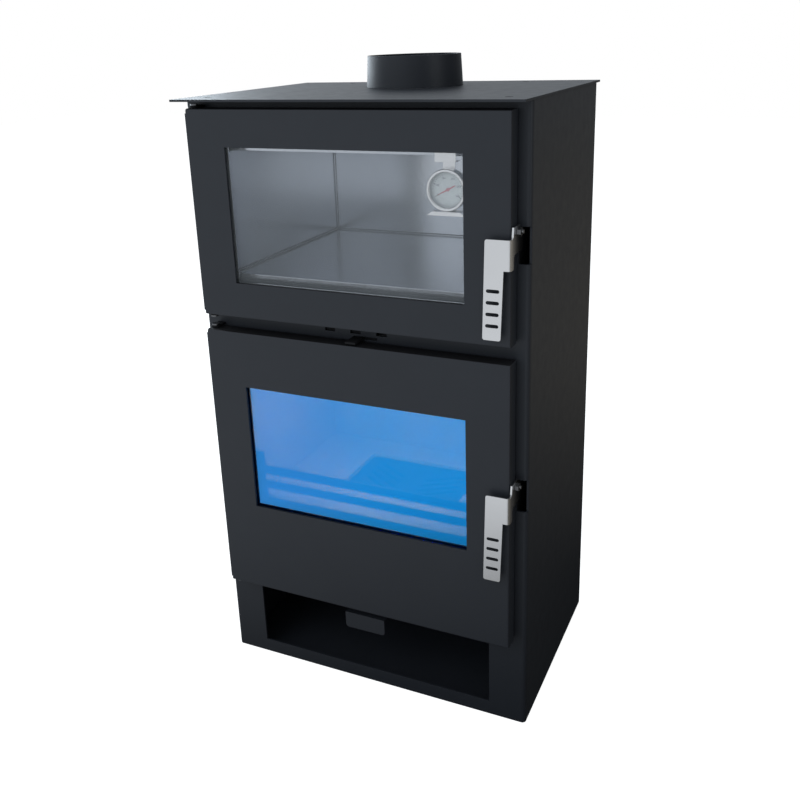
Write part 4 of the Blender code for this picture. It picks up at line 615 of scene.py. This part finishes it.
class STOVE_OT_handles(bpy.types.Operator):
    """Satin latch handles with their threaded studs and nuts"""

    bl_idname = "stove.handles"
    bl_label = "Handles"
    bl_options = {"REGISTER", "UNDO"}

    def execute(self, context):
        for door in DOORS:
            soften(door + "_door_handle", door + "_latch_handle", "stainless", sizes().handle_edge)
            soften(door + "_handle_nut", door + "_nut", "plated", sizes().sheet_edge)
            self.threaded_stud(door)
        return {"FINISHED"}

    def threaded_stud(self, door):
        """The same stud with a ridged thread past the handle's eye."""
        size = sizes()
        low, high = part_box(door + "_handle_stud")
        handle_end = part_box(door + "_door_handle")[1].x
        door_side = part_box(door + "_door_panel")[1].x
        middle = (low + high) / 2
        head = (high.z - low.z) / 2
        radius, shoulder = size.stud_radius, size.shoulder_radius
        root = radius - size.thread_depth
        inside = door_side - size.tray_sheet - size.play
        outside = door_side + size.play
        profile = [(0, low.x), (head, low.x), (head, inside), (radius, inside), (radius, outside),
                   (shoulder, outside), (shoulder, door_side + size.shoulder_end),
                   (radius, door_side + size.shoulder_end)]
        for index in range(int((high.x - handle_end) / size.thread_pitch)):
            ridge = handle_end + index * size.thread_pitch
            profile += [(radius, ridge), (root, ridge + size.thread_pitch / 2)]
        profile += [(root, high.x), (0, high.x)]
        bm = spin_profile([(out, along - middle.x) for out, along in profile], middle, (1, 0, 0))
        settle(bm, door + "_stud", "plated", door + "_handle_stud")


class STOVE_OT_liner(bpy.types.Operator):
    """Stainless box of the oven"""

    bl_idname = "stove.liner"
    bl_label = "Oven liner"
    bl_options = {"REGISTER", "UNDO"}

    def execute(self, context):
        soften("oven_liner", "oven_box", "liner", sizes().sheet_edge)
        self.weld_seams()
        return {"FINISHED"}

    def weld_seams(self):
        """Slim dark weld beads along the inner corners of the oven."""
        size = sizes()
        low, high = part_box("oven_liner")
        side = high.x - size.liner_flange
        back = high.y - size.liner_wall
        floor = low.z + size.liner_flange
        ceiling = high.z - size.liner_flange
        front = low.y + size.seam_setback
        half = size.seam_width / 2
        runs = [((-side, back, floor), (side, back, floor)), ((-side, back, ceiling), (side, back, ceiling))]
        for corner in (-side, side):
            runs += [((corner, back, floor), (corner, back, ceiling)),
                     ((corner, front, floor), (corner, back, floor)),
                     ((corner, front, ceiling), (corner, back, ceiling))]
        beads = bmesh.new()
        for first, last in runs:
            span = Vector(last) - Vector(first)
            made = bmesh.ops.create_cone(beads, cap_ends=True, segments=8, radius1=half, radius2=half,
                                         depth=span.length)
            turn = Vector((0, 0, 1)).rotation_difference(span).to_matrix()
            bmesh.ops.rotate(beads, verts=made["verts"], cent=(0, 0, 0), matrix=turn)
            bmesh.ops.translate(beads, verts=made["verts"], vec=(Vector(first) + Vector(last)) / 2)
        settle(beads, "oven_seams", "plated", body="casing")


class STOVE_OT_thermometer(bpy.types.Operator):
    """Dial thermometer with a printed scale"""

    bl_idname = "stove.thermometer"
    bl_label = "Thermometer"
    bl_options = {"REGISTER", "UNDO"}

    def execute(self, context):
        dress("thermometer_case", "stainless")
        soften("thermometer_hanger", "dial_hanger", "stainless", sizes().sheet_edge / 2)
        dress("thermometer_lens", "lens")
        dress("thermometer_dial", "dial")
        dress("thermometer_needle", "needle")
        dress("thermometer_coil", "coil")
        self.print_scale()
        return {"FINISHED"}

    def print_scale(self):
        """Marks every ten degrees and numbers every fifty, clockwise from the needle's rest."""
        size = sizes()
        low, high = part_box("thermometer_dial")
        centre = Vector(((low.x + high.x) / 2, low.y, (low.z + high.z) / 2))
        marks = bmesh.new()
        for step in range(DIAL_STEPS + 1):
            angle = DIAL_START - DIAL_SWEEP * step / DIAL_STEPS
            share = SHORT_MARK if step % LONG_EVERY else 1.0
            length = size.mark_length * share
            width = size.mark_width * share
            made = bmesh.ops.create_cube(marks, size=1)
            bmesh.ops.scale(marks, verts=made["verts"], vec=(length, size.ink_thickness, width))
            bmesh.ops.translate(marks, verts=made["verts"],
                                vec=(size.mark_radius - length / 2, -size.ink_thickness / 2, 0))
            bmesh.ops.rotate(marks, verts=made["verts"], cent=(0, 0, 0),
                             matrix=Matrix.Rotation(-angle, 3, "Y"))
            bmesh.ops.translate(marks, verts=made["verts"], vec=centre)
        settle(marks, "dial_marks", "ink", body="oven_door", smooth=False)
        for step in range(0, DIAL_STEPS + 1, LONG_EVERY):
            angle = DIAL_START - DIAL_SWEEP * step / DIAL_STEPS
            place = centre + size.number_radius * Vector((math.cos(angle), 0, math.sin(angle)))
            self.print_number(FIRST_NUMBER + step * DEGREES_A_STEP, place)

    def print_number(self, value, place):
        """A number lying on the dial, turned into a mesh before it is placed."""
        size = sizes()
        curve = bpy.data.curves.new("number", "FONT")
        curve.body = str(value)
        curve.size = size.number_height
        curve.align_x = "CENTER"
        curve.align_y = "CENTER"
        curve.extrude = size.ink_thickness / 2
        curve.resolution_u = 3
        source = bpy.data.objects.new("number", curve)
        mesh = bpy.data.meshes.new_from_object(source)
        bm = bmesh.new()
        bm.from_mesh(mesh)
        bpy.data.objects.remove(source)
        bpy.data.meshes.remove(mesh)
        bpy.data.curves.remove(curve)
        bmesh.ops.remove_doubles(bm, verts=bm.verts, dist=FINE_MERGE)
        bmesh.ops.rotate(bm, verts=bm.verts, cent=(0, 0, 0), matrix=Matrix.Rotation(math.radians(90), 3, "X"))
        bmesh.ops.translate(bm, verts=bm.verts, vec=place - Vector((0, size.ink_thickness / 2, 0)))
        settle(bm, "dial_number_" + str(value), "ink", body="oven_door", smooth=False)


class STOVE_OT_firebox(bpy.types.Operator):
    """Fire boards, hearth, and the black sheets around them"""

    bl_idname = "stove.firebox"
    bl_label = "Firebox"
    bl_options = {"REGISTER", "UNDO"}

    def execute(self, context):
        for node, name in (("firebrick_left", "left_board"), ("firebrick_right", "right_board"),
                           ("firebrick_back", "rear_board"), ("baffle_board", "smoke_baffle"),
                           ("hearth_board", "hearth_slab")):
            soften(node, name, "board", sizes().board_edge)
        for node in ("hearth_plate", "firebox_floor", "inner_body", "air_wash_duct", "air_box"):
            dress(node, "black")
        return {"FINISHED"}


class STOVE_OT_castings(bpy.types.Operator):
    """Grate and log guard"""

    bl_idname = "stove.castings"
    bl_label = "Grate and guard"
    bl_options = {"REGISTER", "UNDO"}

    def execute(self, context):
        soften("fire_grate", "grate_casting", "iron", sizes().casting_edge)
        soften("log_guard", "guard_rail", "iron", sizes().casting_edge)
        return {"FINISHED"}


class STOVE_OT_ash_pan(bpy.types.Operator):
    """Folded ash tray"""

    bl_idname = "stove.ash_pan"
    bl_label = "Ash pan"
    bl_options = {"REGISTER", "UNDO"}

    def execute(self, context):
        soften("ash_pan", "ash_tray", "stainless", sizes().sheet_edge)
        return {"FINISHED"}


class STOVE_OT_air_slides(bpy.types.Operator):
    """Bare pull tab in the niche and the shutter between the doors"""

    bl_idname = "stove.air_slides"
    bl_label = "Air slides"
    bl_options = {"REGISTER", "UNDO"}

    def execute(self, context):
        soften("primary_air_slide", "air_pull", "paint", sizes().sheet_edge)
        soften("secondary_air_slide", "air_shutter", "black", sizes().sheet_edge)
        return {"FINISHED"}


class STOVE_OT_stage(bpy.types.Operator):
    """Pale floor, soft light and the camera"""

    bl_idname = "stove.stage"
    bl_label = "Stage"
    bl_options = {"REGISTER", "UNDO"}

    def execute(self, context):
        stage = context.scene.stove_stage
        self.make_floor(stage)
        self.make_surroundings(stage)
        for name, (place, target, size, tint, mirrored) in LIGHTS.items():
            self.add_light(name, place, target, size, getattr(stage, name), tint, mirrored)
        self.make_camera(stage)
        context.scene.view_settings.view_transform = "Standard"
        return {"FINISHED"}

    def add_math(self, tree, operation, first, second):
        """Two sockets or numbers joined by the given math operation."""
        node = tree.nodes.new("ShaderNodeMath")
        node.operation = operation
        for index, value in enumerate((first, second)):
            if isinstance(value, (int, float)):
                node.inputs[index].default_value = value
            else:
                tree.links.new(value, node.inputs[index])
        return node.outputs["Value"]

    def seen_directly(self, tree, direct, other):
        """Mix what the camera sees with what lights the stove and mirrors in it."""
        path = tree.nodes.new("ShaderNodeLightPath")
        mix = tree.nodes.new("ShaderNodeMixShader")
        tree.links.new(path.outputs["Is Camera Ray"], mix.inputs["Fac"])
        tree.links.new(other, mix.inputs[1])
        tree.links.new(direct, mix.inputs[2])
        return mix.outputs["Shader"]

    def make_floor(self, stage):
        """A pale floor, evenly bright for the camera, that glows for other rays as painted light: dim as
        painted shade beside the stove and brighter away from it.
        """
        bm = bmesh.new()
        bmesh.ops.create_grid(bm, x_segments=1, y_segments=1, size=stage.floor_half)
        bmesh.ops.translate(bm, verts=bm.verts, vec=(0, 0, -FLOOR_DROP))
        mesh = bpy.data.meshes.new("floor")
        bm.to_mesh(mesh)
        bm.free()
        made = bpy.data.materials.new("pale_floor")
        made.use_nodes = True
        tree = made.node_tree
        tree.nodes.remove(tree.nodes["Principled BSDF"])
        place = tree.nodes.new("ShaderNodeTexCoord")
        reach = tree.nodes.new("ShaderNodeVectorMath")
        reach.operation = "LENGTH"
        tree.links.new(place.outputs["Object"], reach.inputs[0])
        forward = tree.nodes.new("ShaderNodeVectorMath")
        forward.operation = "DOT_PRODUCT"
        forward.inputs[1].default_value = FLOOR_AHEAD
        tree.links.new(place.outputs["Object"], forward.inputs[0])
        # Painted light and shade: the floor's glow is dim beside the stove and brighter away from it, warm
        # behind and cool in front.
        far = spread(tree, reach.outputs["Value"], stage.near_floor, stage.side_floor, *SIDE_REACH)
        ahead = spread(tree, forward.outputs["Value"], stage.near_floor, stage.far_floor, *AHEAD_REACH)
        painted_floor_glow = tree.nodes.new("ShaderNodeEmission")
        tree.links.new(blend_colours(tree, spread(tree, forward.outputs["Value"], 0.0, 1.0, *TINT_REACH),
                                     stage.warm_floor, stage.cool_floor), painted_floor_glow.inputs["Color"])
        tree.links.new(self.add_math(tree, "MAXIMUM", far, ahead), painted_floor_glow.inputs["Strength"])
        pale = tree.nodes.new("ShaderNodeEmission")
        pale.inputs["Strength"].default_value = stage.seen_floor
        cloth = tree.nodes.new("ShaderNodeBsdfDiffuse")
        cloth.inputs["Color"].default_value = (*stage.floor_cloth, 1.0)
        both = tree.nodes.new("ShaderNodeAddShader")
        tree.links.new(pale.outputs["Emission"], both.inputs[0])
        tree.links.new(cloth.outputs["BSDF"], both.inputs[1])
        tree.links.new(self.seen_directly(tree, both.outputs["Shader"], painted_floor_glow.outputs["Emission"]),
                       tree.nodes["Material Output"].inputs["Surface"])
        mesh.materials.append(made)
        floor = bpy.data.objects.new("floor", mesh)
        bpy.context.scene.collection.objects.link(floor)

    def make_surroundings(self, stage):
        """White behind the stove, and a room that is bright at the left and dark at the right."""
        world = bpy.data.worlds.new("surroundings")
        world.use_nodes = True
        tree = world.node_tree
        white = tree.nodes["Background"]
        white.inputs["Color"].default_value = (1.0, 1.0, 1.0, 1.0)
        place = tree.nodes.new("ShaderNodeTexCoord")
        side = tree.nodes.new("ShaderNodeVectorMath")
        side.operation = "DOT_PRODUCT"
        side.inputs[1].default_value = ROOM_SIDE
        tree.links.new(place.outputs["Generated"], side.inputs[0])
        room = tree.nodes.new("ShaderNodeBackground")
        room.inputs["Color"].default_value = (*stage.room, 1.0)
        tree.links.new(spread(tree, side.outputs["Value"], stage.right_world, stage.front_world,
                              *ROOM_REACH), room.inputs["Strength"])
        tree.links.new(self.seen_directly(tree, white.outputs["Background"], room.outputs["Background"]),
                       tree.nodes["World Output"].inputs["Surface"])
        bpy.context.scene.world = world

    def add_light(self, name, place, target, size, power, tint, mirrored):
        data = bpy.data.lights.new(name, "AREA")
        data.size = size
        data.energy = power
        data.color = tint
        light = bpy.data.objects.new(name, data)
        light.location = place
        aim = Vector(target) - Vector(place)
        light.rotation_mode = "QUATERNION"
        light.rotation_quaternion = aim.to_track_quat("-Z", "Y")
        light.visible_glossy = mirrored
        bpy.context.scene.collection.objects.link(light)

    def make_camera(self, stage):
        yaw, pitch, roll = (math.radians(angle) for angle in CAMERA_TURN)
        ahead = Vector((-math.sin(yaw) * math.cos(pitch), math.cos(yaw) * math.cos(pitch), -math.sin(pitch)))
        level = ahead.cross(Vector((0, 0, 1))).normalized()
        upright = level.cross(ahead)
        right = math.cos(roll) * level + math.sin(roll) * upright
        up = -math.sin(roll) * level + math.cos(roll) * upright
        data = bpy.data.cameras.new("photo_camera")
        data.sensor_width = SENSOR_WIDTH
        data.lens = stage.lens
        data.shift_x, data.shift_y = CAMERA_SHIFT
        data.clip_start, data.clip_end = CAMERA_CLIP
        camera = bpy.data.objects.new("photo_camera", data)
        camera.matrix_world = Matrix.Translation(CAMERA_PLACE) @ Matrix(
            (right, up, -ahead)).transposed().to_4x4()
        bpy.context.scene.collection.objects.link(camera)
        bpy.context.scene.camera = camera


class STOVE_PT_panel(bpy.types.Panel):
    """Sizes, colours and buttons for the stove's pieces"""

    bl_idname = "STOVE_PT_panel"
    bl_label = "Wood stove with oven"
    bl_space_type = "VIEW_3D"
    bl_region_type = "UI"
    bl_category = "Stove"

    def draw(self, context):
        for group in (context.scene.stove_sizes, context.scene.stove_colours, context.scene.stove_stage):
            box = self.layout.box()
            for name in group.__annotations__:
                box.prop(group, name)
        for operator in OPERATORS:
            self.layout.operator(operator.bl_idname)


GROUPS = (StoveSizes, StoveColours, StoveStage)
OPERATORS = (
    STOVE_OT_stage, STOVE_OT_casing, STOVE_OT_top, STOVE_OT_doors, STOVE_OT_glazing, STOVE_OT_seals,
    STOVE_OT_handles, STOVE_OT_liner, STOVE_OT_thermometer, STOVE_OT_firebox, STOVE_OT_castings,
    STOVE_OT_ash_pan, STOVE_OT_air_slides,
)


def register():
    for item in (*GROUPS, *OPERATORS, STOVE_PT_panel):
        bpy.utils.register_class(item)
    bpy.types.Scene.stove_sizes = PointerProperty(type=StoveSizes)
    bpy.types.Scene.stove_colours = PointerProperty(type=StoveColours)
    bpy.types.Scene.stove_stage = PointerProperty(type=StoveStage)


def unregister():
    del bpy.types.Scene.stove_sizes
    del bpy.types.Scene.stove_colours
    del bpy.types.Scene.stove_stage
    for item in (STOVE_PT_panel, *reversed(OPERATORS), *reversed(GROUPS)):
        bpy.utils.unregister_class(item)


def main():
    register()
    for operator in OPERATORS:
        group, name = operator.bl_idname.split(".")
        getattr(getattr(bpy.ops, group), name)()


if __name__ == "__main__":
    main()
